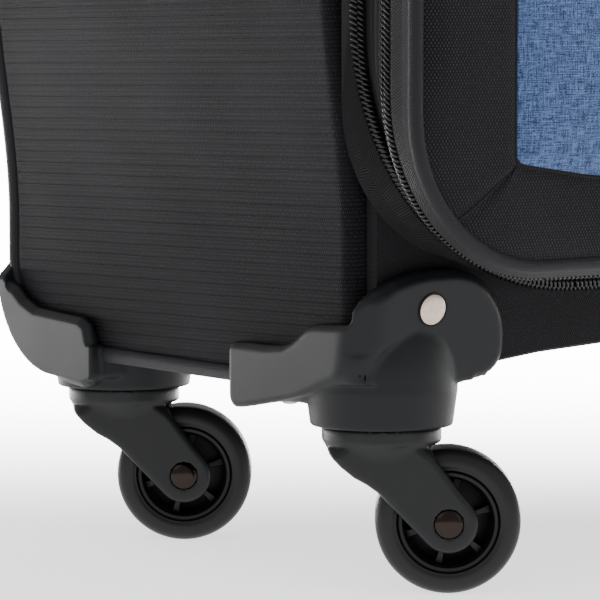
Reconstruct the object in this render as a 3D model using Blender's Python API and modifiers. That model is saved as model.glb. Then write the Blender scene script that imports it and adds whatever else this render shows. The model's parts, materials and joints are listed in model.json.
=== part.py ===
"""Softside cabin suitcase on four swivel casters.

Metres, +Z up. The front, with the lid, faces -Y, the left side faces -X, and the floor is z = 0.
The origin is the middle of the footprint. Each sub-part is one named object.
"""
import math

import bmesh
import bpy
from mathutils import Matrix

GAP = 0.0003                # air between neighbours that touch

# Case
HALF_WIDTH = 0.1705         # to the outer face of a side panel at its edges
BOW = 0.0085                # how far a side panel swells past that at mid height
PANEL = 0.007               # padded wall
CASE_BOTTOM = 0.075
CASE_TOP = 0.535
FRONT_AXIS_Y = -0.06925     # front casters' swivel axes
CASE_FRONT = FRONT_AXIS_Y - 0.019
CASE_BACK = FRONT_AXIS_Y + 0.203
BOTTOM_REAR_RADIUS = 0.032
TOP_REAR_RADIUS = 0.016

# Opening, from the case's front face forwards
RING_HALF_WIDTH = 0.171
RING_BOTTOM = 0.1144        # at the lid; lower towards the case, by the flares below
RING_TOP = 0.5165
RING_RADIUS = 0.057
RIM_FLARE = 0.0054
BAND_FLARE = 0.0040
LID_FLARE = 0.0015
RING_WALL = 0.003
EXPANDER_ZIP_Y = FRONT_AXIS_Y - 0.0225
MAIN_ZIP_Y = FRONT_AXIS_Y - 0.0375
LID_BACK_Y = FRONT_AXIS_Y - 0.0488
LID_FRONT_Y = FRONT_AXIS_Y - 0.0532
PIPING = 0.003              # how far the lid's piped edge stands out past the ring
POCKET_HALF_WIDTH = 0.130
POCKET_FRONT_Y = LID_FRONT_Y - 0.0075
POCKET_ZIP_Z = 0.3945        # between the two pockets
SLIDER_THICK = 0.0040
PULL_OUT = 0.0068           # from the fabric to the axis a pull tab swings on

# Casters
AXIS_X = 0.147
WHEELBASE = 0.1617
TRAIL = 0.0227
TRAIL_HEADING = math.radians(-35.5)
WHEEL_RADIUS = 0.025
WHEEL_HALF_WIDTH = 0.0115
FORK_HALF_WIDTH = 0.0166
FORK_ARM = 0.0038
FORK_EAR_RADIUS = 0.0102
FORK_DISC_RADIUS = 0.0203
FORK_TOP = 0.0571
HOUSING_RADIUS = 0.0245
HOUSING_BOTTOM = 0.0575
BRACKET_BOTTOM = 0.062
BRACKET_WALL = 0.0037
STEM_RADIUS = 0.0046

# Trolley handle
TUBE_Y = FRONT_AXIS_Y + 0.174
TUBE_X = 0.055
OUTER_TUBE = (0.024, 0.014, 0.0012)      # width, depth, wall
MID_TUBE = (0.0206, 0.0106, 0.0011)
INNER_TUBE = (0.0174, 0.0074, 0.0010)
CUP_HALF_WIDTH = 0.078
CUP_FRONT = FRONT_AXIS_Y + 0.1625
CUP_BACK = FRONT_AXIS_Y + 0.1855
CUP_FLOOR = 0.5085
TUBE_BOTTOM = 0.098
GRIP_HALF_WIDTH = 0.072
GRIP_HALF_DEPTH = 0.0085
GRIP_TOP = 0.546

# Carry handles
TOP_HANDLE_Y = FRONT_AXIS_Y + 0.070
SIDE_HANDLE_Y = FRONT_AXIS_Y + 0.092
SIDE_HANDLE_Z = 0.345
HANDLE_REACH = 0.086        # half the length of the moving grip
HANDLE_LIFT = 0.008         # how far its middle stands above its ends
HANDLE_WIDTH = 0.026
HANDLE_THICK = 0.007

DARK = (0.028, 0.028, 0.033)
BLACK = (0.020, 0.020, 0.024)
PLASTIC = (0.050, 0.052, 0.056)
MATERIALS = {                # colour, roughness, metallic
    "side_fabric": (DARK, 0.85, 0.0),
    "front_fabric": (BLACK, 0.85, 0.0),
    "blue_fabric": ((0.080, 0.141, 0.275), 0.85, 0.0),
    "lining_fabric": ((0.060, 0.062, 0.068), 0.80, 0.0),
    "zip_tape": (BLACK, 0.80, 0.0),
    "bracket_plastic": (PLASTIC, 0.50, 0.0),
    "fork_plastic": ((0.030, 0.031, 0.033), 0.45, 0.0),
    "tyre_rubber": ((0.028, 0.028, 0.030), 0.55, 0.0),
    "hub_plastic": ((0.012, 0.012, 0.012), 0.45, 0.0),
    "axle_chrome": ((0.10, 0.09, 0.08), 0.15, 1.0),
    "tube_aluminium": ((0.62, 0.62, 0.64), 0.30, 1.0),
    "frame_steel": ((0.45, 0.45, 0.46), 0.35, 1.0),
    "board_plastic": ((0.040, 0.040, 0.042), 0.60, 0.0),
    "grip_plastic": ((0.025, 0.025, 0.027), 0.40, 0.0),
    "button_plastic": ((0.045, 0.045, 0.048), 0.35, 0.0),
    "slider_metal": ((0.09, 0.09, 0.095), 0.25, 1.0),
    "handle_fabric": (BLACK, 0.80, 0.0),
}

# From a flat outline's own axes (u, v, thickness) to the world's
PLANES = {
    "XY": Matrix.Identity(4),
    "XZ": Matrix(((1, 0, 0, 0), (0, 0, -1, 0), (0, 1, 0, 0), (0, 0, 0, 1))),
    "YZ": Matrix(((0, 0, 1, 0), (1, 0, 0, 0), (0, 1, 0, 0), (0, 0, 0, 1))),
}
NORMAL_AXIS = {"XY": 2, "XZ": 1, "YZ": 0}


# ---------------------------------------------------------------- scene and tools

def clear_scene():
    for obj in list(bpy.data.objects):
        bpy.data.objects.remove(obj, do_unlink=True)
    for name in ("suitcase", "cutters"):
        collection = bpy.data.collections.new(name)
        bpy.context.scene.collection.children.link(collection)


def material(name):
    """The named material, made the first time it is asked for."""
    found = bpy.data.materials.get(name)
    if found:
        return found
    colour, roughness, metallic = MATERIALS[name]
    made = bpy.data.materials.new(name)
    made.use_nodes = True
    shader = made.node_tree.nodes["Principled BSDF"]
    shader.inputs["Base Color"].default_value = (*colour, 1.0)
    shader.inputs["Roughness"].default_value = roughness
    shader.inputs["Metallic"].default_value = metallic
    return made


def new_object(name, mesh, finish=None, parent=None):
    """A part of the suitcase, or a cutter where it has no finish."""
    obj = bpy.data.objects.new(name, mesh)
    bpy.data.collections["suitcase" if finish else "cutters"].objects.link(obj)
    if finish:
        mesh.materials.clear()
        mesh.materials.append(material(finish))
    else:
        obj.hide_render = True
        obj.display_type = "WIRE"
    obj.parent = parent
    return obj


def mesh_from_curve(curve_obj):
    """Turn a curve object into a welded mesh and remove the curve."""
    graph = bpy.context.evaluated_depsgraph_get()
    mesh = bpy.data.meshes.new_from_object(curve_obj.evaluated_get(graph))
    work = bmesh.new()
    work.from_mesh(mesh)
    bmesh.ops.remove_doubles(work, verts=work.verts, dist=1e-6)
    bmesh.ops.recalc_face_normals(work, faces=work.faces)
    work.to_mesh(mesh)
    work.free()
    bpy.data.objects.remove(curve_obj, do_unlink=True)
    return mesh


def flat_solid(name, loops, plane, low, high, finish=None, parent=None):
    """A flat outline, with holes where there are more loops, from low to high across its plane."""
    curve = bpy.data.curves.new(name, "CURVE")
    curve.dimensions = "2D"
    curve.fill_mode = "BOTH"
    curve.extrude = (high - low) / 2
    for loop in loops:
        spline = curve.splines.new("POLY")
        spline.points.add(len(loop) - 1)
        for point, (u, v) in zip(spline.points, loop):
            point.co = (u, v, 0.0, 1.0)
        spline.use_cyclic_u = True
    curve_obj = bpy.data.objects.new(name, curve)
    bpy.context.scene.collection.objects.link(curve_obj)
    bpy.context.view_layer.update()
    mesh = mesh_from_curve(curve_obj)
    mesh.transform(PLANES[plane])
    offset = [0.0, 0.0, 0.0]
    offset[NORMAL_AXIS[plane]] = (low + high) / 2
    mesh.transform(Matrix.Translation(offset))
    return new_object(name, mesh, finish, parent)


def box(name, low, high, finish=None, parent=None):
    """A box between two opposite corners."""
    work = bmesh.new()
    bmesh.ops.create_cube(work, size=1.0)
    size = [b - a for a, b in zip(low, high)]
    middle = [(a + b) / 2 for a, b in zip(low, high)]
    bmesh.ops.scale(work, vec=size, verts=work.verts)
    bmesh.ops.translate(work, vec=middle, verts=work.verts)
    mesh = bpy.data.meshes.new(name)
    work.to_mesh(mesh)
    work.free()
    return new_object(name, mesh, finish, parent)


def cone(name, radius_low, radius_high, low, high, sides, turn=None, finish=None, parent=None):
    """A cylinder or cone along Z from low to high, then turned by a matrix."""
    work = bmesh.new()
    bmesh.ops.create_cone(work, cap_ends=True, segments=sides, radius1=radius_low,
                          radius2=radius_high, depth=high - low)
    bmesh.ops.translate(work, vec=(0, 0, (low + high) / 2), verts=work.verts)
    mesh = bpy.data.meshes.new(name)
    work.to_mesh(mesh)
    work.free()
    if turn:
        mesh.transform(turn)
    return new_object(name, mesh, finish, parent)


def turned(name, profile, sides, finish, parent):
    """A closed profile of (radius, height), run down its outer side, turned about Y."""
    mesh = bpy.data.meshes.new(name)
    count = len(profile)
    edges = [(i, (i + 1) % count) for i in range(count)]
    mesh.from_pydata([(radius, 0.0, height) for radius, height in profile], edges, [])
    obj = new_object(name, mesh, finish, parent)
    screw = obj.modifiers.new("Turn", "SCREW")
    screw.axis = "Z"
    screw.steps = sides
    screw.render_steps = sides
    screw.use_merge_vertices = True
    screw.merge_threshold = 0.00001
    obj.rotation_euler = (math.radians(90), 0, 0)
    return obj


def bevel(obj, width, segments=2):
    """Round the edges that turn by more than 40 degrees."""
    modifier = obj.modifiers.new("Round", "BEVEL")
    modifier.width = width
    modifier.segments = segments
    modifier.limit_method = "ANGLE"
    modifier.angle_limit = math.radians(40)
    return obj


def combine(obj, others, operation):
    """Join, cut or intersect an object with others, and apply the result to its mesh."""
    for other in others:
        modifier = obj.modifiers.new("Combine", "BOOLEAN")
        modifier.operation = operation
        modifier.solver = "EXACT"
        modifier.object = other
    bpy.context.view_layer.update()
    graph = bpy.context.evaluated_depsgraph_get()
    mesh = bpy.data.meshes.new_from_object(obj.evaluated_get(graph))
    finishes = list(obj.data.materials)
    obj.modifiers.clear()
    obj.data = mesh
    mesh.materials.clear()
    for finish in finishes:
        mesh.materials.append(finish)
    return obj


def empty(name, location, parent=None, heading=0.0):
    """A joint's place: an empty that the moving pieces hang from."""
    obj = bpy.data.objects.new(name, None)
    bpy.data.collections["suitcase"].objects.link(obj)
    obj.location = location
    obj.rotation_euler = (0, 0, heading)
    obj.parent = parent
    return obj


def arc(centre, radius, start, end, steps):
    """Points on an arc, angles in degrees, both ends included."""
    points = []
    for i in range(steps + 1):
        angle = math.radians(start + (end - start) * i / steps)
        points.append((centre[0] + radius * math.cos(angle), centre[1] + radius * math.sin(angle)))
    return points


def rounded(low_u, low_v, high_u, high_v, radius, steps=6):
    """A rectangle with round corners."""
    return (arc((high_u - radius, low_v + radius), radius, -90, 0, steps)
            + arc((high_u - radius, high_v - radius), radius, 0, 90, steps)
            + arc((low_u + radius, high_v - radius), radius, 90, 180, steps)
            + arc((low_u + radius, low_v + radius), radius, 180, 270, steps))


# ---------------------------------------------------------------- case walls

def side_bow(z):
    """How far the side panel's face stands out at a height: level at both ends, full between."""
    rise = min(max((z - 0.095) / 0.115, 0.0), 1.0)
    fall = min(max((0.525 - z) / 0.065, 0.0), 1.0)
    return BOW * min(rise * rise * (3 - 2 * rise), fall * fall * (3 - 2 * fall))


def make_side_panel(name, side):
    inner = HALF_WIDTH - PANEL
    front, back = CASE_FRONT, CASE_BACK
    edge = 0.008
    outline = (arc((front + edge, CASE_BOTTOM + edge), edge, 180, 270, 3)
               + arc((back - BOTTOM_REAR_RADIUS, CASE_BOTTOM + BOTTOM_REAR_RADIUS),
                     BOTTOM_REAR_RADIUS, 270, 360, 8)
               + arc((back - TOP_REAR_RADIUS, CASE_TOP - TOP_REAR_RADIUS), TOP_REAR_RADIUS, 0, 90, 5)
               + arc((front + edge, CASE_TOP - edge), edge, 90, 180, 3))
    low, high = sorted((side * inner, side * (HALF_WIDTH + 2 * BOW)))
    panel = flat_solid(name, [outline], "YZ", low, high, "side_fabric")
    heights = [CASE_BOTTOM - 0.01, 0.095, 0.118, 0.141, 0.164, 0.187, 0.210,
               0.460, 0.482, 0.504, 0.525, CASE_TOP + 0.01]
    section = [(side * (HALF_WIDTH + side_bow(z)), z) for z in heights]
    section += [(side * (inner - 0.01), CASE_TOP + 0.01), (side * (inner - 0.01), CASE_BOTTOM - 0.01)]
    swell = flat_solid(name + "_swell", [section], "XZ", front - 0.01, back + 0.01)
    return bevel(combine(panel, [swell], "INTERSECT"), 0.002)


def make_walls():
    reach = HALF_WIDTH - PANEL - GAP
    front = CASE_FRONT + 0.006 + GAP
    split_y = CASE_BACK - BOTTOM_REAR_RADIUS
    split_top = CASE_TOP - TOP_REAR_RADIUS
    bottom = box("bottom_panel", (-reach, front, CASE_BOTTOM), (reach, split_y - GAP, CASE_BOTTOM + PANEL),
                 "side_fabric")
    bevel(bottom, 0.001, 1)
    corner = (split_y, CASE_BOTTOM + BOTTOM_REAR_RADIUS)
    back = (arc(corner, BOTTOM_REAR_RADIUS, 270, 360, 8)
            + [(CASE_BACK, split_top - GAP), (CASE_BACK - PANEL, split_top - GAP)]
            + arc(corner, BOTTOM_REAR_RADIUS - PANEL, 360, 270, 6))
    flat_solid("back_panel", [back], "YZ", -reach, reach, "side_fabric")
    corner = (CASE_BACK - TOP_REAR_RADIUS, split_top)
    top = ([(front, CASE_TOP - PANEL)] + arc(corner, TOP_REAR_RADIUS - PANEL, 90, 0, 4)
           + arc(corner, TOP_REAR_RADIUS, 0, 90, 5) + [(front, CASE_TOP)])
    top_panel = flat_solid("top_panel", [top], "YZ", -reach, reach, "side_fabric")
    hole = box("cup_hole", (-CUP_HALF_WIDTH - GAP, CUP_FRONT - GAP, CASE_TOP - 0.02),
               (CUP_HALF_WIDTH + GAP, CUP_BACK + GAP, CASE_TOP + 0.02))
    combine(top_panel, [hole], "DIFFERENCE")


def make_front_border():
    """The plain fabric face around the opening, hardly wider than its edge at the sides."""
    reach = HALF_WIDTH - PANEL - GAP
    outside = [(-reach, CASE_BOTTOM), (reach, CASE_BOTTOM), (reach, CASE_TOP), (-reach, CASE_TOP)]
    opening = rounded(-0.1585, RING_BOTTOM + 0.0011, 0.1585, RING_TOP - 0.0065, 0.058, 8)
    flat_solid("front_border", [outside, opening], "XZ", CASE_FRONT, CASE_FRONT + 0.006, "side_fabric")


def make_inside():
    """Base board with the tubes' socket rail, the wire hoop in the front edge, and the back lining."""
    board_low = CASE_BOTTOM + PANEL + GAP
    board_top = board_low + 0.0025
    board_back = CASE_BACK - BOTTOM_REAR_RADIUS - GAP
    board = box("base_board", (-0.160, CASE_FRONT + 0.012, board_low), (0.160, board_back, board_top),
                "board_plastic")
    rail_top = TUBE_BOTTOM - GAP
    rail_foot = box("rail_foot", (-0.072, TUBE_Y - 0.013, board_low + 0.001), (0.072, board_back, rail_top))
    rail = box("socket_rail", (-0.072, TUBE_Y - 0.0095, board_low + 0.004),
               (0.072, TUBE_Y + 0.0095, rail_top))
    combine(board, [rail_foot, rail], "UNION")
    box("back_lining", (-0.158, TUBE_Y - 0.017, board_top + 0.002), (0.158, TUBE_Y - 0.0155, 0.503),
        "lining_fabric")
    curve = bpy.data.curves.new("front_frame_wire", "CURVE")
    curve.dimensions = "3D"
    curve.bevel_depth = 0.0016
    curve.bevel_resolution = 1
    reach = HALF_WIDTH - PANEL - 0.0020
    loop = rounded(-reach, board_top + 0.003, reach, CASE_TOP - PANEL - 0.0025, 0.012, 3)
    spline = curve.splines.new("POLY")
    spline.points.add(len(loop) - 1)
    for point, (x, z) in zip(spline.points, loop):
        point.co = (x, CASE_FRONT + 0.0081, z, 1.0)
    spline.use_cyclic_u = True
    curve_obj = bpy.data.objects.new("front_frame_wire", curve)
    bpy.context.scene.collection.objects.link(curve_obj)
    bpy.context.view_layer.update()
    new_object("front_frame_wire", mesh_from_curve(curve_obj), "frame_steel")


# ---------------------------------------------------------------- opening and lid

def ring_outline(grow, flare=0.0, steps=8):
    """The opening's round-cornered outline, grown outwards and flared down at its lower edge."""
    return rounded(-RING_HALF_WIDTH - grow, RING_BOTTOM - flare - grow, RING_HALF_WIDTH + grow,
                   RING_TOP + grow, RING_RADIUS + flare + grow, steps)


def make_lid():
    bands = (("opening_rim", EXPANDER_ZIP_Y + GAP, CASE_FRONT - GAP, RIM_FLARE),
             ("expansion_gusset", MAIN_ZIP_Y + GAP, EXPANDER_ZIP_Y - GAP, BAND_FLARE),
             ("lid_gusset", LID_BACK_Y + GAP, MAIN_ZIP_Y - GAP, LID_FLARE))
    for name, low, high, flare in bands:
        loops = [ring_outline(0.0, flare), ring_outline(-RING_WALL, flare)]
        flat_solid(name, loops, "XZ", low, high, "zip_tape")
    board = flat_solid("lid_board", [ring_outline(PIPING)], "XZ", LID_FRONT_Y, LID_BACK_Y, "front_fabric")
    bevel(board, 0.0015)
    for name, low, high in (("lower_pocket", 0.145, 0.392), ("upper_pocket", 0.397, 0.483)):
        outline = rounded(-POCKET_HALF_WIDTH, low, POCKET_HALF_WIDTH, high, 0.014, 4)
        bevel(flat_solid(name, [outline], "XZ", POCKET_FRONT_Y, LID_FRONT_Y - GAP, "blue_fabric"), 0.0025)


# ---------------------------------------------------------------- brackets and casters

def lobe_outline(side):
    """The bracket's round-topped face, from inboard to outboard of its caster's axis."""
    outer, neck, low, top = HALF_WIDTH + GAP + BRACKET_WALL - AXIS_X, -0.0245, HOUSING_BOTTOM + 0.001, 0.112
    shape = [(outer, low)]
    shape += arc((outer - 0.020, top - 0.020), 0.020, 0, 90, 6)
    shape += arc((-0.006, top - 0.0275), 0.0275, 90, 180, 8)
    shape += arc((neck, 0.0845), 0.009, 180, 270, 4)
    shape += [(neck, low)]
    return [(side * (AXIS_X + out), z) for out, z in shape]


def front_bracket_profile():
    """Base and front wall, seen from the side."""
    y = FRONT_AXIS_Y
    outer = CASE_FRONT - 0.0040
    return [(outer, BRACKET_BOTTOM), (y + 0.050, BRACKET_BOTTOM), (y + 0.050, CASE_BOTTOM - GAP),
            (CASE_FRONT - GAP, CASE_BOTTOM - GAP), (CASE_FRONT - GAP, 0.115), (outer, 0.115)]


def rear_bracket_profile():
    """Base and rear wall, wrapped around the case's round lower edge."""
    body = (CASE_BACK - BOTTOM_REAR_RADIUS, CASE_BOTTOM + BOTTOM_REAR_RADIUS)
    skin = 0.039
    centre = (CASE_BACK + 0.004 - skin, BRACKET_BOTTOM + skin)
    return ([(FRONT_AXIS_Y + 0.134, BRACKET_BOTTOM)] + arc(centre, skin, 270, 360, 8)
            + [(CASE_BACK + 0.004, 0.115), (CASE_BACK + GAP, 0.115)]
            + arc(body, BOTTOM_REAR_RADIUS + GAP, 360, 270, 8)
            + [(FRONT_AXIS_Y + 0.134, CASE_BOTTOM - GAP)])


def front_wing():
    y = FRONT_AXIS_Y
    return ([(y - 0.023, BRACKET_BOTTOM), (y + 0.045, BRACKET_BOTTOM)]
            + arc((y + 0.046, 0.080), 0.004, 0, 90, 3)
            + [(y + 0.018, 0.0845), (y + 0.010, 0.087), (y + 0.003, 0.091), (y - 0.004, 0.0935),
               (y - 0.015, 0.0945), (y - 0.023, 0.0945)])


def rear_wing():
    y = FRONT_AXIS_Y
    skin = 0.039
    centre = (CASE_BACK + 0.004 - skin, BRACKET_BOTTOM + skin)
    return ([(y + 0.139, BRACKET_BOTTOM)] + arc(centre, skin, 270, 350, 8)
            + [(y + 0.186, 0.0935), (y + 0.178, 0.090), (y + 0.170, 0.0855), (y + 0.142, 0.0845),
               (y + 0.138, 0.0815), (y + 0.134, 0.068)])


def make_bracket(name, side, end):
    """One moulded corner: base, wall, side wing and the conical housing of the swivel."""
    front = end == "front"
    axis_y = FRONT_AXIS_Y if front else FRONT_AXIS_Y + WHEELBASE
    profile = front_bracket_profile() if front else rear_bracket_profile()
    wing = front_wing() if front else rear_wing()
    inner, outer = sorted((side * (AXIS_X - 0.036), side * (AXIS_X + 0.029)))
    body = flat_solid(name, [profile], "YZ", inner, outer, "bracket_plastic")
    face = flat_solid(name + "_face", [lobe_outline(side)], "XZ", CASE_FRONT - 0.02, CASE_BACK + 0.02)
    combine(body, [face], "INTERSECT")
    low, high = sorted((side * (HALF_WIDTH + GAP), side * (HALF_WIDTH + GAP + BRACKET_WALL)))
    wing_solid = flat_solid(name + "_wing", [wing], "YZ", low, high)
    place = Matrix.Translation((side * AXIS_X, axis_y, 0))
    housing = cone(name + "_housing", HOUSING_RADIUS, 0.0262, HOUSING_BOTTOM, 0.070, 32, place)
    combine(body, [wing_solid, housing], "UNION")
    bore = cone(name + "_bore", STEM_RADIUS + 0.0004, STEM_RADIUS + 0.0004, HOUSING_BOTTOM - 0.01, 0.069, 16,
                place)
    return combine(body, [bore], "DIFFERENCE")


def fork_outline():
    """The fork seen from the wheel's side: distance along the trail, height above the floor."""
    tail = [(-0.0200, 0.0560), (-0.0196, 0.0529), (-0.0177, 0.0485), (-0.0138, 0.0443), (-0.0094, 0.0408),
            (-0.0017, 0.0356), (0.0060, 0.0276)]
    ear = arc((TRAIL, WHEEL_RADIUS), FORK_EAR_RADIUS, 222, 380, 10)
    nose = [(0.0296, 0.0325), (0.0258, 0.0369), (0.0225, 0.0413), (0.0203, 0.0441), (0.0189, 0.0474),
            (0.0184, 0.0520), (0.0184, 0.0560)]
    return tail + ear + nose


def make_fork(name, pivot):
    """Two arms, their crown and the stem that turns in the bracket, about the swivel axis."""
    fork = flat_solid(name, [fork_outline()], "XZ", -FORK_HALF_WIDTH, FORK_HALF_WIDTH, "fork_plastic", pivot)
    inside = FORK_HALF_WIDTH - FORK_ARM
    slot = box(name + "_slot", (-0.030, -inside, 0.0), (0.050, inside, 0.0520), None, pivot)
    combine(fork, [slot], "DIFFERENCE")
    crown = cone(name + "_crown", FORK_DISC_RADIUS, FORK_DISC_RADIUS, 0.0520, FORK_TOP, 32, None, None, pivot)
    stem = cone(name + "_stem", STEM_RADIUS, STEM_RADIUS, FORK_TOP - 0.001, 0.068, 16, None, None, pivot)
    combine(fork, [crown, stem], "UNION")
    across = Matrix.Translation((TRAIL, 0, WHEEL_RADIUS)) @ Matrix.Rotation(math.radians(90), 4, "X")
    bore = cone(name + "_bore", 0.0033, 0.0033, -0.03, 0.03, 16, across, None, pivot)
    return combine(fork, [bore], "DIFFERENCE")


def make_caster(corner, side, end):
    axis_y = FRONT_AXIS_Y if end == "front" else FRONT_AXIS_Y + WHEELBASE
    pivot = empty(corner + "_swivel", (side * AXIS_X, axis_y, 0), None, TRAIL_HEADING)
    spindle = empty(corner + "_spindle", (TRAIL, 0, WHEEL_RADIUS), pivot)
    bpy.context.view_layer.update()
    make_fork(corner + "_fork", pivot)
    shoulder = 0.0055
    half = WHEEL_HALF_WIDTH
    tread = arc((WHEEL_RADIUS - shoulder, half - shoulder), shoulder, 90, 0, 3)
    tread += arc((WHEEL_RADIUS - shoulder, shoulder - half), shoulder, 0, -90, 3)
    turned(corner + "_tyre", tread + [(0.0180, -half), (0.0180, half)], 32, "tyre_rubber", spindle)
    hub = [(0.0177, half - 0.0003), (0.0177, 0.0003 - half), (0.0158, 0.0003 - half), (0.0150, -0.0075),
           (0.0066, -0.0075), (0.0060, -0.0112), (0.0032, -0.0112), (0.0032, 0.0112), (0.0060, 0.0112),
           (0.0066, 0.0075), (0.0150, 0.0075), (0.0158, half - 0.0003)]
    turned(corner + "_hub", hub, 20, "hub_plastic", spindle)
    head = FORK_HALF_WIDTH + 0.0002
    end = [(0.0, head + 0.0014), (0.0034, head + 0.0012), (0.0050, head + 0.0004), (0.0050, head),
           (0.0029, head)]
    pin = end + [(radius, -height) for radius, height in reversed(end)]
    make_axle(corner + "_axle", pin, spindle)


def make_axle(name, profile, parent):
    """A solid pin with a domed head at each end, along Y."""
    mesh = bpy.data.meshes.new(name)
    mesh.from_pydata([(radius, 0.0, height) for radius, height in profile],
                     [(i, i + 1) for i in range(len(profile) - 1)], [])
    obj = new_object(name, mesh, "axle_chrome", parent)
    screw = obj.modifiers.new("Turn", "SCREW")
    screw.steps = 16
    screw.render_steps = 16
    screw.use_merge_vertices = True
    screw.merge_threshold = 0.00001
    obj.rotation_euler = (math.radians(90), 0, 0)
    return obj


# ---------------------------------------------------------------- trolley handle

def tube(name, side, size, low, high, parent):
    """A rectangular tube with round corners, upright."""
    width, depth, wall = size
    x = side * TUBE_X
    outside = rounded(x - width / 2, TUBE_Y - depth / 2, x + width / 2, TUBE_Y + depth / 2, 0.003, 2)
    inside = rounded(x - width / 2 + wall, TUBE_Y - depth / 2 + wall, x + width / 2 - wall,
                     TUBE_Y + depth / 2 - wall, 0.002, 2)
    return flat_solid(name, [outside, inside], "XY", low, high, "tube_aluminium", parent)


def make_trolley():
    for side, word in ((-1, "left"), (1, "right")):
        tube(word + "_outer_tube", side, OUTER_TUBE, TUBE_BOTTOM, CUP_FLOOR - 0.0035 - GAP, None)
        tube(word + "_mid_tube", side, MID_TUBE, TUBE_BOTTOM + 0.006, 0.5115, None)
        tube(word + "_inner_tube", side, INNER_TUBE, TUBE_BOTTOM + 0.012, 0.5150, None)
    cup = box("trolley_cup", (-CUP_HALF_WIDTH, CUP_FRONT, CUP_FLOOR - 0.0035),
              (CUP_HALF_WIDTH, CUP_BACK, CASE_TOP + 0.001), "bracket_plastic")
    flange_outline = rounded(-0.084, CUP_FRONT - 0.004, 0.084, CUP_BACK + 0.002, 0.006, 3)
    flange = flat_solid("cup_flange", [flange_outline], "XY", CASE_TOP + GAP, CASE_TOP + 0.0025)
    combine(cup, [flange], "UNION")
    cutters = [box("cup_well", (-CUP_HALF_WIDTH + 0.0025, CUP_FRONT + 0.0022, CUP_FLOOR),
                   (CUP_HALF_WIDTH - 0.0025, CUP_BACK - 0.0022, CASE_TOP + 0.02))]
    for side in (-1, 1):
        half_x, half_y = MID_TUBE[0] / 2 + 0.0006, MID_TUBE[1] / 2 + 0.0006
        cutters.append(box("cup_tube_hole", (side * TUBE_X - half_x, TUBE_Y - half_y, CUP_FLOOR - 0.02),
                           (side * TUBE_X + half_x, TUBE_Y + half_y, CUP_FLOOR + 0.002)))
    combine(cup, cutters, "DIFFERENCE")
    make_grip()


def make_grip():
    low, high = TUBE_Y - GRIP_HALF_DEPTH, TUBE_Y + GRIP_HALF_DEPTH
    grip = box("grip", (-GRIP_HALF_WIDTH, low, 0.530), (GRIP_HALF_WIDTH, high, GRIP_TOP), "grip_plastic")
    bevel(grip, 0.003)
    legs = []
    for side in (-1, 1):
        left, right = sorted((side * 0.043, side * 0.0665))
        legs.append(box("grip_leg", (left, low + 0.0015, 0.515 + GAP), (right, high - 0.0015, 0.536)))
    combine(grip, legs, "UNION")
    well = box("button_well", (-0.0164, TUBE_Y - 0.0054, 0.540), (0.0164, TUBE_Y + 0.0054, GRIP_TOP + 0.01))
    combine(grip, [well], "DIFFERENCE")
    outline = rounded(-0.016, TUBE_Y - 0.005, 0.016, TUBE_Y + 0.005, 0.003, 3)
    flat_solid("release_button", [outline], "XY", 0.543, GRIP_TOP + 0.0013, "button_plastic")


# ---------------------------------------------------------------- carry handles and feet

def handle_outline(low):
    """A strap's side view: flat ends and a raised middle, along its length and up from its base."""
    steps = 12
    lower, upper = [], []
    for i in range(steps + 1):
        along = -HANDLE_REACH + 2 * HANDLE_REACH * i / steps
        rise = min((HANDLE_REACH - abs(along)) / 0.050, 1.0)
        height = low + HANDLE_LIFT * rise * rise * (3 - 2 * rise)
        lower.append((along, height))
        upper.append((along, height + 0.0045 + (HANDLE_THICK - 0.0045) * rise))
    return lower + upper[::-1]


def anchor_outline(low):
    """An anchor cap's side view, sloping down to its outer end."""
    return [(HANDLE_REACH + GAP, low), (HANDLE_REACH + 0.034, low), (HANDLE_REACH + 0.034, low + 0.003),
            (HANDLE_REACH + 0.024, low + 0.0075), (HANDLE_REACH + 0.004, low + 0.0085),
            (HANDLE_REACH + GAP, low + 0.0075)]


def make_handles():
    half = HANDLE_WIDTH / 2
    top = CASE_TOP + GAP
    strap = flat_solid("top_handle", [handle_outline(top + 0.001)], "XZ", TOP_HANDLE_Y - half,
                       TOP_HANDLE_Y + half, "handle_fabric")
    bevel(strap, 0.0012, 1)
    for side, word in ((-1, "left"), (1, "right")):
        outline = [(side * along, height) for along, height in anchor_outline(top)]
        flat_solid("top_handle_anchor_" + word, [outline], "XZ", TOP_HANDLE_Y - 0.018, TOP_HANDLE_Y + 0.018,
                   "bracket_plastic")
    face = HALF_WIDTH + BOW + GAP

    def stand_up(shape, side):
        return [(-height, SIDE_HANDLE_Z + side * along) for along, height in shape]

    strap = flat_solid("side_handle", [stand_up(handle_outline(face + 0.001), 1)], "XZ", SIDE_HANDLE_Y - half,
                       SIDE_HANDLE_Y + half, "handle_fabric")
    bevel(strap, 0.0012, 1)
    for side, word in ((-1, "lower"), (1, "upper")):
        flat_solid("side_handle_anchor_" + word, [stand_up(anchor_outline(face), side)], "XZ",
                   SIDE_HANDLE_Y - 0.018, SIDE_HANDLE_Y + 0.018, "bracket_plastic")


def make_side_feet():
    """Two ribs on the right side, level with each other, that the case lies on."""
    low = HALF_WIDTH + BOW + GAP
    height = 0.0160
    for name, z in (("side_foot_lower", 0.236), ("side_foot_upper", 0.446)):
        outline = rounded(FRONT_AXIS_Y + 0.030, z - 0.009, FRONT_AXIS_Y + 0.160, z + 0.009, 0.008, 4)
        bevel(flat_solid(name, [outline], "YZ", low, low + height, "bracket_plastic"), 0.002, 1)


# ---------------------------------------------------------------- zip sliders

def make_pull(name, plane, hinge):
    """A flat pull tab with a slot near its lower end, hanging from its hinge."""
    outline = rounded(-0.0030, -0.0280, 0.0030, 0.0025, 0.0020, 3)
    slot = rounded(-0.0014, -0.0255, 0.0014, -0.0160, 0.0012, 2)
    flat_solid(name, [outline, slot], plane, -0.0010, 0.0010, "slider_metal", hinge)


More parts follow.
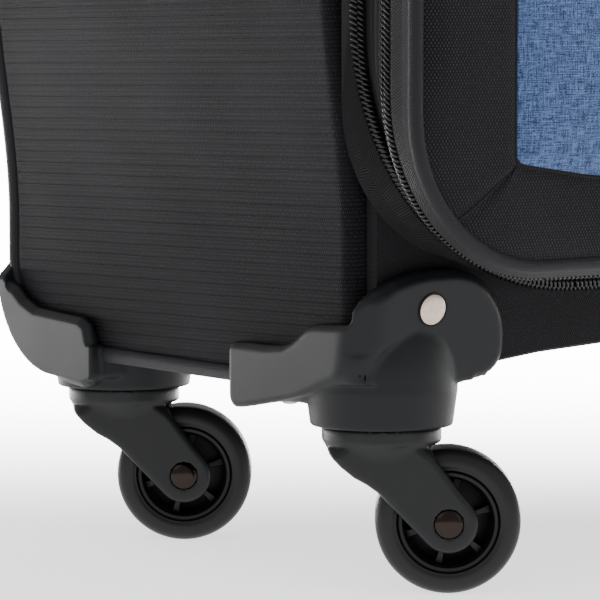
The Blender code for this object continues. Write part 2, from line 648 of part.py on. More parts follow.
def make_slider(name, face_x, y, z):
    """A slider on the left run of a zip, with its pull hanging from its outer face."""
    half_width, half_length = 0.0032, 0.0075
    body = box(name, (face_x - SLIDER_THICK, y - half_width, z - half_length),
               (face_x - GAP, y + half_width, z + half_length), "slider_metal")
    bevel(body, 0.0012, 1)
    hinge = empty(name + "_hinge", (face_x - PULL_OUT, y, z + 0.0035))
    make_pull(name + "_pull", "YZ", hinge)


def make_sliders():
    face = -RING_HALF_WIDTH
    make_slider("main_slider_lower", face, MAIN_ZIP_Y, 0.300)
    make_slider("main_slider_upper", face, MAIN_ZIP_Y, 0.345)
    make_slider("expander_slider", face, EXPANDER_ZIP_Y, 0.430)
    y = POCKET_FRONT_Y
    body = box("pocket_slider", (-0.108, y - SLIDER_THICK, POCKET_ZIP_Z - 0.0040),
               (-0.093, y - GAP, POCKET_ZIP_Z + 0.0040), "slider_metal")
    bevel(body, 0.0012, 1)
    make_pull("pocket_slider_pull", "XZ", empty("pocket_slider_hinge", (-0.1045, y - PULL_OUT, POCKET_ZIP_Z)))


def main():
    clear_scene()
    for side, word in ((-1, "left"), (1, "right")):
        make_side_panel(word + "_side_panel", side)
        for end in ("front", "rear"):
            corner = end + "_" + word
            make_bracket(corner + "_bracket", side, end)
            make_caster(corner, side, end)
    make_walls()
    make_front_border()
    make_inside()
    make_lid()
    make_trolley()
    make_handles()
    make_side_feet()
    make_sliders()


main()
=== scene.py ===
"""A softside upright cabin suitcase on four swivel casters, dressed around its CAD frame.

Every piece is a surface worked out with numpy, in metres, with +Z up, the lid towards -Y and the trolley
tubes at +Y. Each sub-assembly is a class: it holds its sizes, builds its meshes and gives them their finish.
"""
from __future__ import annotations

import json
import logging
import math
from dataclasses import dataclass, field
from enum import Enum
from typing import Callable, Iterable, Sequence

import bpy
import numpy as np
from mathutils import Euler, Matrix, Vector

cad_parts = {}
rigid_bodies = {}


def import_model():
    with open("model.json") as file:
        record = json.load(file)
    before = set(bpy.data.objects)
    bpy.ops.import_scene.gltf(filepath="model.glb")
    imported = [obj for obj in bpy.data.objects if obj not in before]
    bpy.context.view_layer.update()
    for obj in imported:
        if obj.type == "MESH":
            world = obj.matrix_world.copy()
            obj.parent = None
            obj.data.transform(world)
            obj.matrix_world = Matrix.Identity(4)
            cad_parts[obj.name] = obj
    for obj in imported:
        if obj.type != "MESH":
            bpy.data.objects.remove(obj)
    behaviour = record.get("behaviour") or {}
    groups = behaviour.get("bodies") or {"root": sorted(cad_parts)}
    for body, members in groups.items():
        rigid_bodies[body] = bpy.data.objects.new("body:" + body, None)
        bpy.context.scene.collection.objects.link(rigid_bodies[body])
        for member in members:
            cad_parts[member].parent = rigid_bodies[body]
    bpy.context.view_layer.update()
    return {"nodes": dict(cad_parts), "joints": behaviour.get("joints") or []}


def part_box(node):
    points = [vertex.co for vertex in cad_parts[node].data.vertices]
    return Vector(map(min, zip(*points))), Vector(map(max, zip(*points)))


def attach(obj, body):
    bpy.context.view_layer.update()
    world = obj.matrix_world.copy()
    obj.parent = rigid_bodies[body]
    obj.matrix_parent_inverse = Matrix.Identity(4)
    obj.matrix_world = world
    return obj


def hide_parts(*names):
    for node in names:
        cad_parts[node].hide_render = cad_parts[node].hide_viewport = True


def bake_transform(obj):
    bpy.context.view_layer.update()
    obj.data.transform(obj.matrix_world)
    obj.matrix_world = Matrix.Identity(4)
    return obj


LOG = logging.getLogger("suitcase")
MM = 0.001
TAU = 2.0 * math.pi
X, Y, Z = np.eye(3)
Array = np.ndarray
Outline = list[tuple[float, float]]


# ---- numbers and curves

def smooth(value: Array) -> Array:
    """A ramp from 0 to 1 with level ends: 3t^2 - 2t^3 of the value held between 0 and 1."""
    t = np.clip(value, 0, 1)
    return t * t * (3.0 - 2 * t)


def unit(vectors: Array) -> Array:
    """Vectors scaled to length one."""
    return vectors / np.maximum(np.linalg.norm(vectors, axis=-1, keepdims=True), 1e-12)


def lengths(points: Array) -> Array:
    """How far along a line of points each one is."""
    steps = np.linalg.norm(np.diff(points, axis=0), axis=1)
    return np.concatenate([[0.0], np.cumsum(steps)])


def arc(centre: Sequence[float], radius: float, start: float, end: float, steps: int) -> Outline:
    """Points on a circular arc.

    Args:
        centre: its centre.
        radius: its radius.
        start, end: angles in degrees.
        steps: how many segments.
    Returns: the points, both ends included.
    """
    angles = np.radians(np.linspace(start, end, steps + 1))
    return list(zip(centre[0] + radius * np.cos(angles), centre[1] + radius * np.sin(angles)))


def circle(radius: float, steps: int) -> Array:
    """A closed round profile: radius times cosine and sine."""
    angles = np.linspace(0, TAU, steps, endpoint=False)
    return columns(radius * np.cos(angles), radius * np.sin(angles))


def oval(steps: int, broad: float, tall: float) -> Array:
    """A squared round profile: cosine and sine, each raised to its own power with its sign kept."""
    angles = np.linspace(0, TAU, steps + 1)[:-1]
    across, up = np.cos(angles), np.sin(angles)
    return columns(np.sign(across) * np.abs(across) ** broad, np.sign(up) * np.abs(up) ** tall)


def columns(*parts: Array) -> Array:
    """Arrays spread to one shape and set side by side along a new last axis."""
    return np.stack(np.broadcast_arrays(*parts), axis=-1)


def lattice(rows: Array, cols: Array) -> Array:
    """Every pair of a row's and a column's number, as a grid."""
    return columns(rows[:, None], cols[None, :])


def between(first: Array, last: Array, share: Array) -> Array:
    """Points on the straight lines from one ring to another: first * (1 - share) + last * share."""
    return first[:, None] * (1 - share[None, :, None]) + last[:, None] * share[None, :, None]


def sample(line: Array, index: Array) -> Array:
    """A line's points at fractional places in its own index."""
    return columns(*(np.interp(index, np.arange(len(line)), part) for part in line.T))


def along(points: Array, spacing: float, closed: bool = False) -> tuple[Array, Array]:
    """Evenly spaced places on a line of points, by straight interpolation over its length.

    Args:
        points: the line.
        spacing: the wished distance between places, rounded to fit the length.
        closed: whether the line runs on from its end to its start.
    Returns: the places, and where each stands in the line's own index.
    """
    if closed:
        points = np.concatenate([points, points[:1]])
    run = lengths(points)
    count = max(int(round(run[-1] / spacing)), 1)
    wanted = np.arange(count) * run[-1] / count if closed else (np.arange(count) + 0.5) * run[-1] / count
    index = np.interp(wanted, run, np.arange(len(points)))
    return columns(*(np.interp(wanted, run, part) for part in points.T)), index


# ---- meshes

@dataclass
class Patch:
    """Points, faces of one size or more, and each face corner's place on the cloth."""
    points: Array
    faces: list[Array]
    cloth: list[Array] = field(default_factory=list)

    def volume(self) -> float:
        """Six times the volume that the faces enclose: the sum of corner triple products."""
        total = 0.0
        for group in self.faces:
            p = self.points[group]
            for k in range(1, group.shape[1] - 1):
                total += float(np.einsum("ij,ij->", p[:, 0], np.cross(p[:, k], p[:, k + 1])))
        return total

    def turned_out(self) -> Patch:
        """The same closed patch with its faces pointing outwards."""
        return self if self.volume() >= 0.0 else self.flipped()

    def flipped(self) -> Patch:
        """The same patch with every face turned over."""
        return Patch(self.points, [f[:, ::-1] for f in self.faces], [c[:, ::-1] for c in self.cloth])

    def mirrored(self) -> Patch:
        """The patch on the case's other side: x changes sign and the faces turn over."""
        return Patch(self.points * np.array([-1.0, 1.0, 1.0]), self.faces, self.cloth).flipped()

    def bare(self) -> Patch:
        """The patch without its places on the cloth."""
        return Patch(self.points, self.faces)

    def placed(self, origin: Sequence[float], axes: Array | None = None) -> Patch:
        """The patch turned by axes, given as rows, and then carried to origin."""
        points = self.points if axes is None else self.points @ np.asarray(axes)
        return Patch(points + np.asarray(origin), self.faces, self.cloth)

    def put(self, name: str, finish: Finish, body: str, slot: str, replaces: Iterable[str] = (), crease: float
            = 40.0) -> bpy.types.Object:
        """Makes the patch an object in the scene.

        Args:
            name: the piece's name.
            finish: what it is made of.
            body: the moving body that it rides on, or an empty string for none.
            slot: the record's material slot; not used.
            replaces: the CAD nodes that it stands for.
            crease: edges sharper than this angle stay sharp.
        Returns: the object.
        """
        mesh = bpy.data.meshes.new(name)
        corners = np.concatenate([f.ravel() for f in self.faces])
        totals = np.concatenate([np.full(len(f), f.shape[1]) for f in self.faces])
        mesh.vertices.add(len(self.points))
        mesh.vertices.foreach_set("co", self.points.astype(np.float32).ravel())
        mesh.loops.add(len(corners))
        mesh.loops.foreach_set("vertex_index", corners.astype(np.int32))
        mesh.polygons.add(len(totals))
        mesh.polygons.foreach_set("loop_start", (np.cumsum(totals) - totals).astype(np.int32))
        mesh.polygons.foreach_set("loop_total", totals.astype(np.int32))
        if self.cloth:
            layer = mesh.uv_layers.new(name="cloth")
            flat = np.concatenate([c.reshape(-1, 2) for c in self.cloth])
            layer.data.foreach_set("uv", flat.astype(np.float32).ravel())
        mesh.update(calc_edges=True)
        mesh.polygons.foreach_set("use_smooth", np.ones(len(totals), dtype=bool))
        mesh.set_sharp_from_angle(angle=math.radians(crease))
        mesh.materials.append(finish.material())
        piece = added(name, mesh)
        if body:
            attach(piece, body)
        if replaces:
            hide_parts(*replaces)
        LOG.info("%s: %d faces", name, len(totals))
        return piece


def added(name: str, data: bpy.types.ID) -> bpy.types.Object:
    """A new object in the scene that holds the data."""
    thing = bpy.data.objects.new(name, data)
    bpy.context.scene.collection.objects.link(thing)
    return thing


def joined(patches: Sequence[Patch]) -> Patch:
    """Several patches as one."""
    starts = np.cumsum([0] + [len(p.points) for p in patches])
    faces = [f + start for p, start in zip(patches, starts) for f in p.faces]
    return Patch(np.concatenate([p.points for p in patches]), faces, [c for p in patches for c in p.cloth])


def grid_faces(rows: int, cols: int) -> Array:
    """The squares of a grid of points, row by row."""
    corner = (np.arange(rows - 1)[:, None] * cols + np.arange(cols - 1)[None, :]).ravel()
    return columns(corner, corner + 1, corner + cols + 1, corner + cols)


def shell(outer: Array, inner: Array, cloth: Array, wrap: bool = False, keep: Array | None = None) -> Patch:
    """A closed wall between two grids of points: both skins, and a strip along each free edge.

    Args:
        outer, inner: grids of points of the same shape.
        cloth: each grid point's place on the cloth, in metres.
        wrap: whether the last row is the first row again.
        keep: which grid squares exist, for a wall with a hole.
    Returns: the wall, its faces outwards.
    """
    rows, cols = outer.shape[:2]
    faces = grid_faces(rows, cols)
    if keep is not None:
        faces = faces[keep.ravel()]
    count = rows * cols
    index = np.arange(count)
    if wrap:
        index[-cols:] = index[:cols]
    edges = columns(faces, np.roll(faces, -1, axis=1)).reshape(-1, 2)
    used = index[edges]
    forward, backward = used[:, 0] * count + used[:, 1], used[:, 1] * count + used[:, 0]
    rim = edges[~np.isin(forward, backward)]
    start, end = rim.T
    strip = columns(end, start, start + count, end + count)
    groups = np.concatenate([faces, faces[:, ::-1] + count, strip])
    both = np.concatenate([index, index + count])
    place = np.concatenate([cloth.reshape(-1, 2)] * 2)
    points = np.concatenate([outer.reshape(-1, 3), inner.reshape(-1, 3)])
    used_points, tidy = np.unique(both[groups], return_inverse=True)
    return Patch(points[used_points], [tidy.reshape(groups.shape)], [place[groups]]).turned_out()


def loft(rings: Array, cloth: Array | None = None, closed: bool = False, caps: bool = True) -> Patch:
    """A closed skin through rings of points, one row for each ring.

    Args:
        rings: points, ring by ring; each ring closes on itself.
        cloth: a place on the cloth for each point, with one more column than the rings.
        closed: whether the last ring joins the first.
        caps: whether open ends are closed by a fan around their middle.
    Returns: the skin, its faces outwards.
    """
    rows, cols = rings.shape[:2]
    loops = np.concatenate([rings, rings[:, :1]], axis=1)
    if cloth is None:
        run = lengths(rings.mean(axis=1))
        round_ = lengths(loops[rows // 2])
        cloth = lattice(run, round_)
    if closed:
        gap = np.linalg.norm(rings[-1].mean(axis=0) - rings[0].mean(axis=0))
        cloth = np.concatenate([cloth, cloth[-1:] + np.array([gap, 0.0])])
    total = rows + (1 if closed else 0)
    faces = grid_faces(total, cols + 1)
    row, col = faces // (cols + 1), faces % (cols + 1)
    index = (row % rows) * cols + col % cols
    patch = Patch(rings.reshape(-1, 3), [index], [cloth.reshape(-1, 2)[faces]])
    if caps and not closed:
        points, fans, places = [patch.points], [], []
        for end, start in enumerate((0, (rows - 1) * cols)):
            middle = rows * cols + end
            ring = start + np.arange(cols)
            fan = columns(middle, np.roll(ring, -1), ring)
            fans.append(fan if end == 0 else fan[:, ::-1])
            points.append(rings[end * (rows - 1)].mean(axis=0)[None])
            places.append(np.zeros((cols, 3, 2)) + cloth[end * (rows - 1), 0])
        patch = Patch(np.concatenate(points), patch.faces + fans, patch.cloth + places)
    return patch.turned_out()


def sweep(path: Array, profile: Array, up: Array, closed: bool = False) -> Patch:
    """A profile carried along a path: each point is path + side * first + top * second.

    Args:
        path: the path's points.
        profile: the closed profile, sideways and upwards.
        up: the upward direction, one for all or one for each point.
        closed: whether the path closes on itself.
    Returns: the swept skin.
    """
    if closed:
        tangent = unit(np.roll(path, -1, axis=0) - np.roll(path, 1, axis=0))
    else:
        tangent = unit(np.gradient(path, axis=0))
    side = unit(np.cross(tangent, np.broadcast_to(up, path.shape)))
    top = np.cross(side, tangent)
    rings = path[:, None] + profile[None, :, :1] * side[:, None] + profile[None, :, 1:2] * top[:, None]
    return loft(rings, closed=closed)


def lathe(profile: Outline, steps: int, closed: bool = False) -> Patch:
    """A profile of radius and height turned around the z axis.

    Args:
        profile: radius and height, from one end to the other.
        steps: how many sides the circle has.
        closed: whether the profile joins its own start, as on a tyre.
    Returns: the turned skin.
    """
    shape = np.array(profile)
    angles = np.linspace(0, TAU, steps, endpoint=False)
    radius, height = shape[:, :1], shape[:, 1:]
    return loft(columns(radius * np.cos(angles), radius * np.sin(angles), height), closed=closed)


def two_sided(half: Outline) -> Outline:
    """Half a profile followed by its mirror image in height."""
    return half + [(radius, -height) for radius, height in reversed(half)]


def mm(*pairs: tuple[float, float]) -> Outline:
    """Pairs of millimetres as metres."""
    return [(a * MM, b * MM) for a, b in pairs]


def carried(path: Array, section: Array, wide: Array, tall: Array, side: Array, top: Array) -> Patch:
    """A section that changes size along a path: path + side * wide * first + top * tall * second.

    Args:
        path: the path's points.
        section: the section at full size.
        wide, tall: its half width and half height at each point.
        side, top: the directions of both, one for all or one for each point.
    Returns: the closed skin.
    """
    side, top = (np.broadcast_to(way, path.shape)[:, None] for way in (side, top))
    return loft(path[:, None] + section[None, :, :1] * wide[:, None, None] * side + section[None, :, 1:]
        * tall[:, None, None] * top)


def scatter(template: Patch, origins: Array, axes: Array) -> Patch:
    """Copies of a small patch, one at each origin, turned by its axes given as rows."""
    points = np.einsum("vi,kij->kvj", template.points, axes) + origins[:, None]
    count, size = len(origins), len(template.points)
    shift = (np.arange(count) * size)[:, None, None]
    faces = [(f[None] + shift).reshape(-1, f.shape[1]) for f in template.faces]
    cloth = [np.tile(c, (count, 1, 1)) for c in template.cloth]
    return Patch(points.reshape(-1, 3), faces, cloth)


# ---- moulded shapes

Field = Callable[[Array, Array, Array], Array]


def merge(a: Array, b: Array, fillet: float) -> Array:
    """The distance to two solids moulded in one, with a fillet where they meet."""
    h = np.clip(0.5 + 0.5 * (b - a) / fillet, 0, 1)
    return b * (1 - h) + a * h - fillet * h * (1 - h)


def common(a: Array, b: Array, round_: float) -> Array:
    """The distance to what two solids share, its edge rounded."""
    return -merge(-a, -b, round_)


def outline_distance(u: Array, v: Array, outline: Outline) -> Array:
    """Signed distance to a closed outline, negative inside.

    For each side the nearest point is found by clamped projection; the sign changes at each crossing.
    """
    shape = np.broadcast(u, v).shape
    nearest = np.full(shape, np.inf)
    inside = np.zeros(shape, dtype=bool)
    for (ax, ay), (bx, by) in zip(outline, list(outline[1:]) + [outline[0]]):
        ex, ey = bx - ax, by - ay
        wx, wy = u - ax, v - ay
        t = np.clip((wx * ex + wy * ey) / max(ex * ex + ey * ey, 1e-18), 0, 1)
        nearest = np.minimum(nearest, (wx - ex * t) ** 2 + (wy - ey * t) ** 2)
        crosses = (ay > v) != (by > v)
        if ey:
            inside = inside ^ (crosses & (u < ax + ex * (v - ay) / ey))
    return np.sqrt(nearest) * np.where(inside, -1, 1)


def slab(value: Array, low: float, high: float) -> Array:
    """Signed distance to the space between two parallel planes."""
    return np.maximum(low - value, value - high)


def skin(distance: Field, low: Sequence[float], high: Sequence[float], step: float) -> Patch:
    """The closed surface where a distance is zero, for moulded parts with fillets.

    One point is kept in each grid cell that the surface crosses, at the mean of its edge crossings; four
    cells around a crossed grid edge make a face; then each point moves along the gradient to the surface.

    Args:
        distance: the shape.
        low, high: the corners of its box.
        step: the grid's spacing.
    Returns: the surface.
    """
    axes = [np.arange(a - 2 * step, b + 3 * step, step) for a, b in zip(low, high)]
    values = distance(axes[0][:, None, None], axes[1][None, :, None], axes[2][None, None, :])
    values = np.broadcast_to(values, [len(a) for a in axes])
    inside = values < 0.0
    size = np.array(values.shape)
    corners = np.array([[i, j, k] for i in (0, 1) for j in (0, 1) for k in (0, 1)])
    count = sum(inside[i:size[0] - 1 + i, j:size[1] - 1 + j, k:size[2] - 1 + k].astype(np.int8) for i, j, k
        in corners)
    active = (count > 0) & (count < 8)
    cells = np.argwhere(active)
    index = np.full(active.shape, -1)
    index[active] = np.arange(len(cells))
    total, hits = np.zeros((len(cells), 3)), np.zeros(len(cells))
    for a in corners:
        for axis in np.flatnonzero(a == 0):
            b = a.copy()
            b[axis] = 1
            fa, fb = (values[tuple((cells + c).T)] for c in (a, b))
            crossed = (fa < 0.0) != (fb < 0.0)
            share = np.where(crossed, fa / np.where(crossed, fa - fb, 1), 0)
            total += np.where(crossed[:, None], a + share[:, None] * (b - a), 0)
            hits += crossed
    points = np.array([a[0] for a in axes]) + step * (cells + total / hits[:, None])
    faces = []
    for axis in range(3):
        e1, e2 = np.eye(3, dtype=int)[[(axis + 1) % 3, (axis + 2) % 3]]
        first = [slice(1, n - 1) for n in size]
        first[axis] = slice(0, size[axis] - 1)
        second = list(first)
        second[axis] = slice(1, size[axis])
        here, there = inside[tuple(first)], inside[tuple(second)]
        spots = np.argwhere(here != there) + np.array([s.start for s in first])
        ring = [index[tuple((spots + shift).T)] for shift in (0 * e1, -e1, -e1 - e2, -e2)]
        quads = np.stack(ring, axis=1)
        leaves = inside[tuple(spots.T)]
        faces.append(np.where(leaves[:, None], quads, quads[:, ::-1]))
    nudge = 0.2 * step
    for _ in range(4):
        value = distance(*points.T)
        gradient = np.stack([distance(*(points + nudge * e).T) - distance(*(points - nudge * e).T) for e
            in np.eye(3)], axis=1) / (2 * nudge)
        move = value[:, None] * gradient / np.maximum((gradient ** 2).sum(axis=1), 0.2)[:, None]
        points = points - np.clip(move, -0.6 * step, 0.6 * step)
    return Patch(points, [np.concatenate(faces)]).turned_out()


# ---- shaders

class Wire:
    """A value inside a material, so that shader maths reads as plain expressions."""

    def __init__(self, shader: Shader, socket: bpy.types.NodeSocket) -> None:
        """Wraps an output socket of one of the shader's nodes."""
        self.shader, self.socket = shader, socket

    def math(self, operation: str, *others: Wire | float) -> Wire:
        """One Math node on this value and others."""
        return self.shader.node("ShaderNodeMath", {"operation": operation}, dict(enumerate((self, *others))))

    def __add__(self, other: Wire | float) -> Wire:
        """Sum."""
        return self.math("ADD", other)

    __radd__ = __add__

    def __sub__(self, other: Wire | float) -> Wire:
        """Difference."""
        return self.math("SUBTRACT", other)

    def __rsub__(self, other: float) -> Wire:
        """Difference, reflected: a times minus one, plus the number."""
        return self.math("MULTIPLY_ADD", -1.0, other)

    def __mul__(self, other: Wire | float) -> Wire:
        """Product."""
        return self.math("MULTIPLY", other)

    __rmul__ = __mul__

    def __truediv__(self, other: Wire | float) -> Wire:
        """Quotient."""
        return self.math("DIVIDE", other)

    def ramp(self, low: float, high: float) -> Wire:
        """A smooth step from 0 at low to 1 at high."""
        return self.shader.node("ShaderNodeMapRange", {"interpolation_type": "SMOOTHSTEP"},
            {"Value": self, "From Min": low, "From Max": high})


class Shader:
    """One material under construction."""

    def __init__(self, name: str) -> None:
        """Starts an empty material of that name."""
        self.material = bpy.data.materials.new(name)
        self.material.use_nodes = True
        self.tree = self.material.node_tree
        self.tree.nodes.clear()

    def node(self, kind: str, settings: dict[str, object] | None = None, inputs: dict[int | str, object]
            | None = None, output: int | str = 0) -> Wire:
        """Adds any node.

        Args:
            kind: the node's type.
            settings: its own properties, set first.
            inputs: values or wires for its sockets, by name or number.
            output: which output to return.
        Returns: that output.
        """
        node = self.tree.nodes.new(kind)
        for key, value in (settings or {}).items():
            setattr(node, key, value)
        for key, value in (inputs or {}).items():
            if isinstance(value, Wire):
                self.tree.links.new(value.socket, node.inputs[key])
            else:
                node.inputs[key].default_value = value
        return Wire(self, node.outputs[output])

    def cloth(self, turn: float = 0.0) -> tuple[Wire, Wire, Wire]:
        """The piece's own cloth coordinates in metres, turned in degrees: across, along and the vector."""
        place = self.node("ShaderNodeUVMap", {"uv_map": "cloth"})
        if turn:
            place = self.node("ShaderNodeMapping", None, {"Vector": place, "Rotation":
                (0.0, 0.0, math.radians(turn))})
        split = self.node("ShaderNodeSeparateXYZ", None, {"Vector": place}).socket.node
        return Wire(self, split.outputs[0]), Wire(self, split.outputs[1]), place

    def solid(self) -> Wire:
        """Object coordinates in metres."""
        return self.node("ShaderNodeTexCoord", output="Object")

    def noise(self, vector: Wire, size: float, stretch: tuple[float, float, float] = (1.0, 1.0, 1.0), detail:
            float = 2.0) -> Wire:
        """Soft noise with features of about that size, drawn out along the axes by stretch."""
        scale = tuple(1.0 / (size * s) for s in stretch)
        place = self.node("ShaderNodeMapping", None, {"Vector": vector, "Scale": scale})
        return self.node("ShaderNodeTexNoise", None, {"Vector": place, "Scale": 1.0, "Detail": detail})

    def mix(self, factor: Wire | float, a: Wire | Colour, b: Wire | Colour, blend: str = "MIX") -> Wire:
        """Two colours mixed."""
        colours = {6: a if isinstance(a, Wire) else (*a, 1.0), 7: b if isinstance(b, Wire) else (*b, 1.0)}
        return self.node("ShaderNodeMix", {"data_type": "RGBA", "blend_type": blend}, {0: factor, **colours},
            2)

    def wave(self, value: Wire, pitch: float) -> Wire:
        """A wave between 0 and 1 with its crests a pitch apart."""
        return (value * (TAU / pitch)).math("COSINE") * 0.5 + 0.5

    def bump(self, height: Wire, distance: float, strength: float = 1.0) -> Wire:
        """A surface normal from a height between 0 and 1 over a distance in metres."""
        return self.node("ShaderNodeBump", None, {"Height": height, "Distance": distance, "Strength":
            strength})

    def finish(self, **sockets: object) -> bpy.types.Material:
        """Ends the material in a Principled surface with those sockets, spaces for underscores."""
        inputs = {key.replace("_", " "): value for key, value in sockets.items()}
        for key in ("Base Color", "Sheen Tint"):
            if key in inputs and not isinstance(inputs[key], Wire):
                inputs[key] = (*inputs[key], 1.0)
        surface = self.node("ShaderNodeBsdfPrincipled", None, inputs)
        end = self.tree.nodes.new("ShaderNodeOutputMaterial")
        self.tree.links.new(surface.socket, end.inputs["Surface"])
        return self.material


Colour = tuple[float, float, float]


@dataclass(frozen=True)
class Finish:
    """A finish that a maker would name, made once and shared."""
    name: str
    colour: Colour
    roughness: float = 0.6

    def material(self) -> bpy.types.Material:
        """The finish's material, made when it is first asked for."""
        known = bpy.data.materials.get(self.name)
        return known if known else self.make(Shader(self.name))

    def make(self, s: Shader) -> bpy.types.Material:
        """Builds the nodes; each kind of finish has its own."""
        raise NotImplementedError


@dataclass(frozen=True)
class RibbedDobby(Finish):
    """Dark polyester with rice-grain floats between horizontal ribs."""
    light: Colour = (0.029, 0.029, 0.036)
    rib: float = 4.1 * MM
    grain: tuple[float, float] = (1.05 * MM, 1.37 * MM)
    turn: float = 0.0

    def make(self, s: Shader) -> bpy.types.Material:
        """Floats stand in staggered rows; each rib is a dark line, and slow noise varies the dye."""
        across, up, place = s.cloth(self.turn)
        row = (up / self.grain[1]).math("FLOOR")
        shift = row.math("MODULO", 2.0) * (0.5 * self.grain[0])
        wobble = s.noise(place, 2.2 * MM)
        float_ = (s.wave(across + shift + wobble * (0.5 * MM), self.grain[0]).ramp(0.4, 0.95)
            * s.wave(up - 0.5 * self.grain[1], self.grain[1]).ramp(0.2, 0.85))
        speckle = s.noise(place, 1.1 * MM, detail=1.0).ramp(0.3, 0.75)
        float_ = float_ * (speckle * 0.85 + 0.15)
        rib = s.wave(up, self.rib).ramp(0.9, 1.0)
        cloud = s.noise(place, 60 * MM).ramp(0.2, 0.8)
        tone = s.mix(float_, self.colour, self.light)
        tone = s.mix(rib * 0.35, tone, tuple(0.35 * c for c in self.colour))
        tone = s.mix(cloud * 0.1, tone, self.light)
        height = float_ * 0.7 - rib * 0.4 + 0.3
        return s.finish(Base_Color=tone, Roughness=self.roughness, Sheen_Weight=0.01, Sheen_Roughness=0.5,
            Specular_IOR_Level=0.06, Normal=s.bump(height, 0.35 * MM))


@dataclass(frozen=True)
class Honeycomb(Finish):
    """Plain black polyester with a fine diamond weave."""
    light: Colour = (0.028, 0.028, 0.037)
    pitch: float = 1.25 * MM

    def make(self, s: Shader) -> bpy.types.Material:
        """Two slanting waves cross to make diamonds, darker in their pits."""
        across, up, place = s.cloth()
        a = s.wave(across + up * 0.6, self.pitch)
        b = s.wave(across - up * 0.6, self.pitch)
        weave = (a * b).ramp(0.1, 0.8) * (s.noise(place, 1.3 * MM, detail=1.0).ramp(0.25, 0.75) * 0.6 + 0.4)
        tone = s.mix(weave, self.colour, self.light)
        tone = s.mix(s.noise(place, 45 * MM).ramp(0.3, 0.8) * 0.15, tone, self.light)
        return s.finish(Base_Color=tone, Roughness=self.roughness, Sheen_Weight=0.03, Sheen_Roughness=0.5,
            Specular_IOR_Level=0.12, Normal=s.bump(weave, 0.25 * MM))


@dataclass(frozen=True)
class Melange(Finish):
    """Heather cloth: dyed threads of uneven shade, across and along."""
    light: Colour = (0.11, 0.18, 0.37)
    dark: Colour = (0.009, 0.018, 0.055)
    thread: float = 0.42 * MM

    def make(self, s: Shader) -> bpy.types.Material:
        """Noise drawn out along each direction shades the threads, which pass over and under."""
        across, up, place = s.cloth()
        weft = s.noise(place, self.thread, (14.0, 1.0, 1.0), 1.0).ramp(0.34, 0.66)
        warp = s.noise(place, self.thread, (1.0, 12.0, 1.0), 1.0).ramp(0.34, 0.66)
        over = s.noise(place, 1.6 * self.thread, detail=0.0).ramp(0.42, 0.58)
        shade = weft * over + warp * (1 - over)
        tone = s.mix(shade, self.dark, self.light)
        tone = s.mix(0.2, tone, self.colour)
        height = s.wave(across, 2 * self.thread) * s.wave(up, 2 * self.thread) + shade * 0.4
        return s.finish(Base_Color=tone, Roughness=self.roughness, Sheen_Weight=0.04, Sheen_Roughness=0.45,
            Specular_IOR_Level=0.15, Normal=s.bump(height, 0.18 * MM))


@dataclass(frozen=True)
class Herringbone(Finish):
    """Woven tape with slanting ribs that change direction at a middle line."""
    light: Colour = (0.024, 0.024, 0.027)
    pitch: float = MM
    period: float = 8.6 * MM
    slant: float = 1.1

    def make(self, s: Shader) -> bpy.types.Material:
        """The rib's phase is the length plus the slant times the distance from the nearest middle."""
        run, across, place = s.cloth()
        fold = (across / self.period).math("FRACT") - 0.5
        phase = run + fold.math("ABSOLUTE") * (self.period * self.slant)
        rib = s.wave(phase + s.noise(place, 1.5 * MM) * (0.35 * MM), self.pitch)
        tone = s.mix(rib.ramp(0.3, 0.9), self.colour, self.light)
        tone = s.mix(s.noise(place, 12 * MM).ramp(0.3, 0.8) * 0.3, tone, self.colour)
        return s.finish(Base_Color=tone, Roughness=self.roughness, Sheen_Weight=0.03, Specular_IOR_Level=0.18,
            Normal=s.bump(rib, 0.22 * MM))


@dataclass(frozen=True)
class PlainWeave(Finish):
    """Plain thin cloth or binding with a fine over-and-under weave."""
    pitch: float = 0.7 * MM
    relief: float = 0.12 * MM

    def make(self, s: Shader) -> bpy.types.Material:
        """Two waves a thread apart, with soft noise in the shade."""
        across, up, place = s.cloth()
        weave = s.wave(across, self.pitch) * s.wave(up, self.pitch)
        tone = s.mix(weave.ramp(0.0, 1.0) * 0.5, self.colour, tuple(1.9 * c for c in self.colour))
        tone = s.mix(s.noise(place, 25 * MM).ramp(0.3, 0.8) * 0.25, tone, tuple(0.6 * c for c in self.colour))
        return s.finish(Base_Color=tone, Roughness=self.roughness, Sheen_Weight=0.03, Specular_IOR_Level=0.18,
            Normal=s.bump(weave, self.relief))


@dataclass(frozen=True)
class Moulded(Finish):
    """Moulded plastic with a fine spark-eroded grain."""
    grain: float = 0.5 * MM
    relief: float = 0.02 * MM
    coat: float = 0.0
    shine: float = 0.22

    def make(self, s: Shader) -> bpy.types.Material:
        """Fine noise roughens the normal; broad noise shades the colour and the polish."""
        place = s.solid()
        broad = s.noise(place, 16 * MM)
        tone = s.mix(broad.ramp(0.2, 0.8) * 0.35, self.colour, tuple(1.35 * c for c in self.colour))
        rough = broad * 0.08 + (self.roughness - 0.04)
        height = s.noise(place, self.grain, detail=3.0)
        return s.finish(Base_Color=tone, Roughness=rough, Coat_Weight=self.coat,
            Specular_IOR_Level=self.shine, Normal=s.bump(height, self.relief))


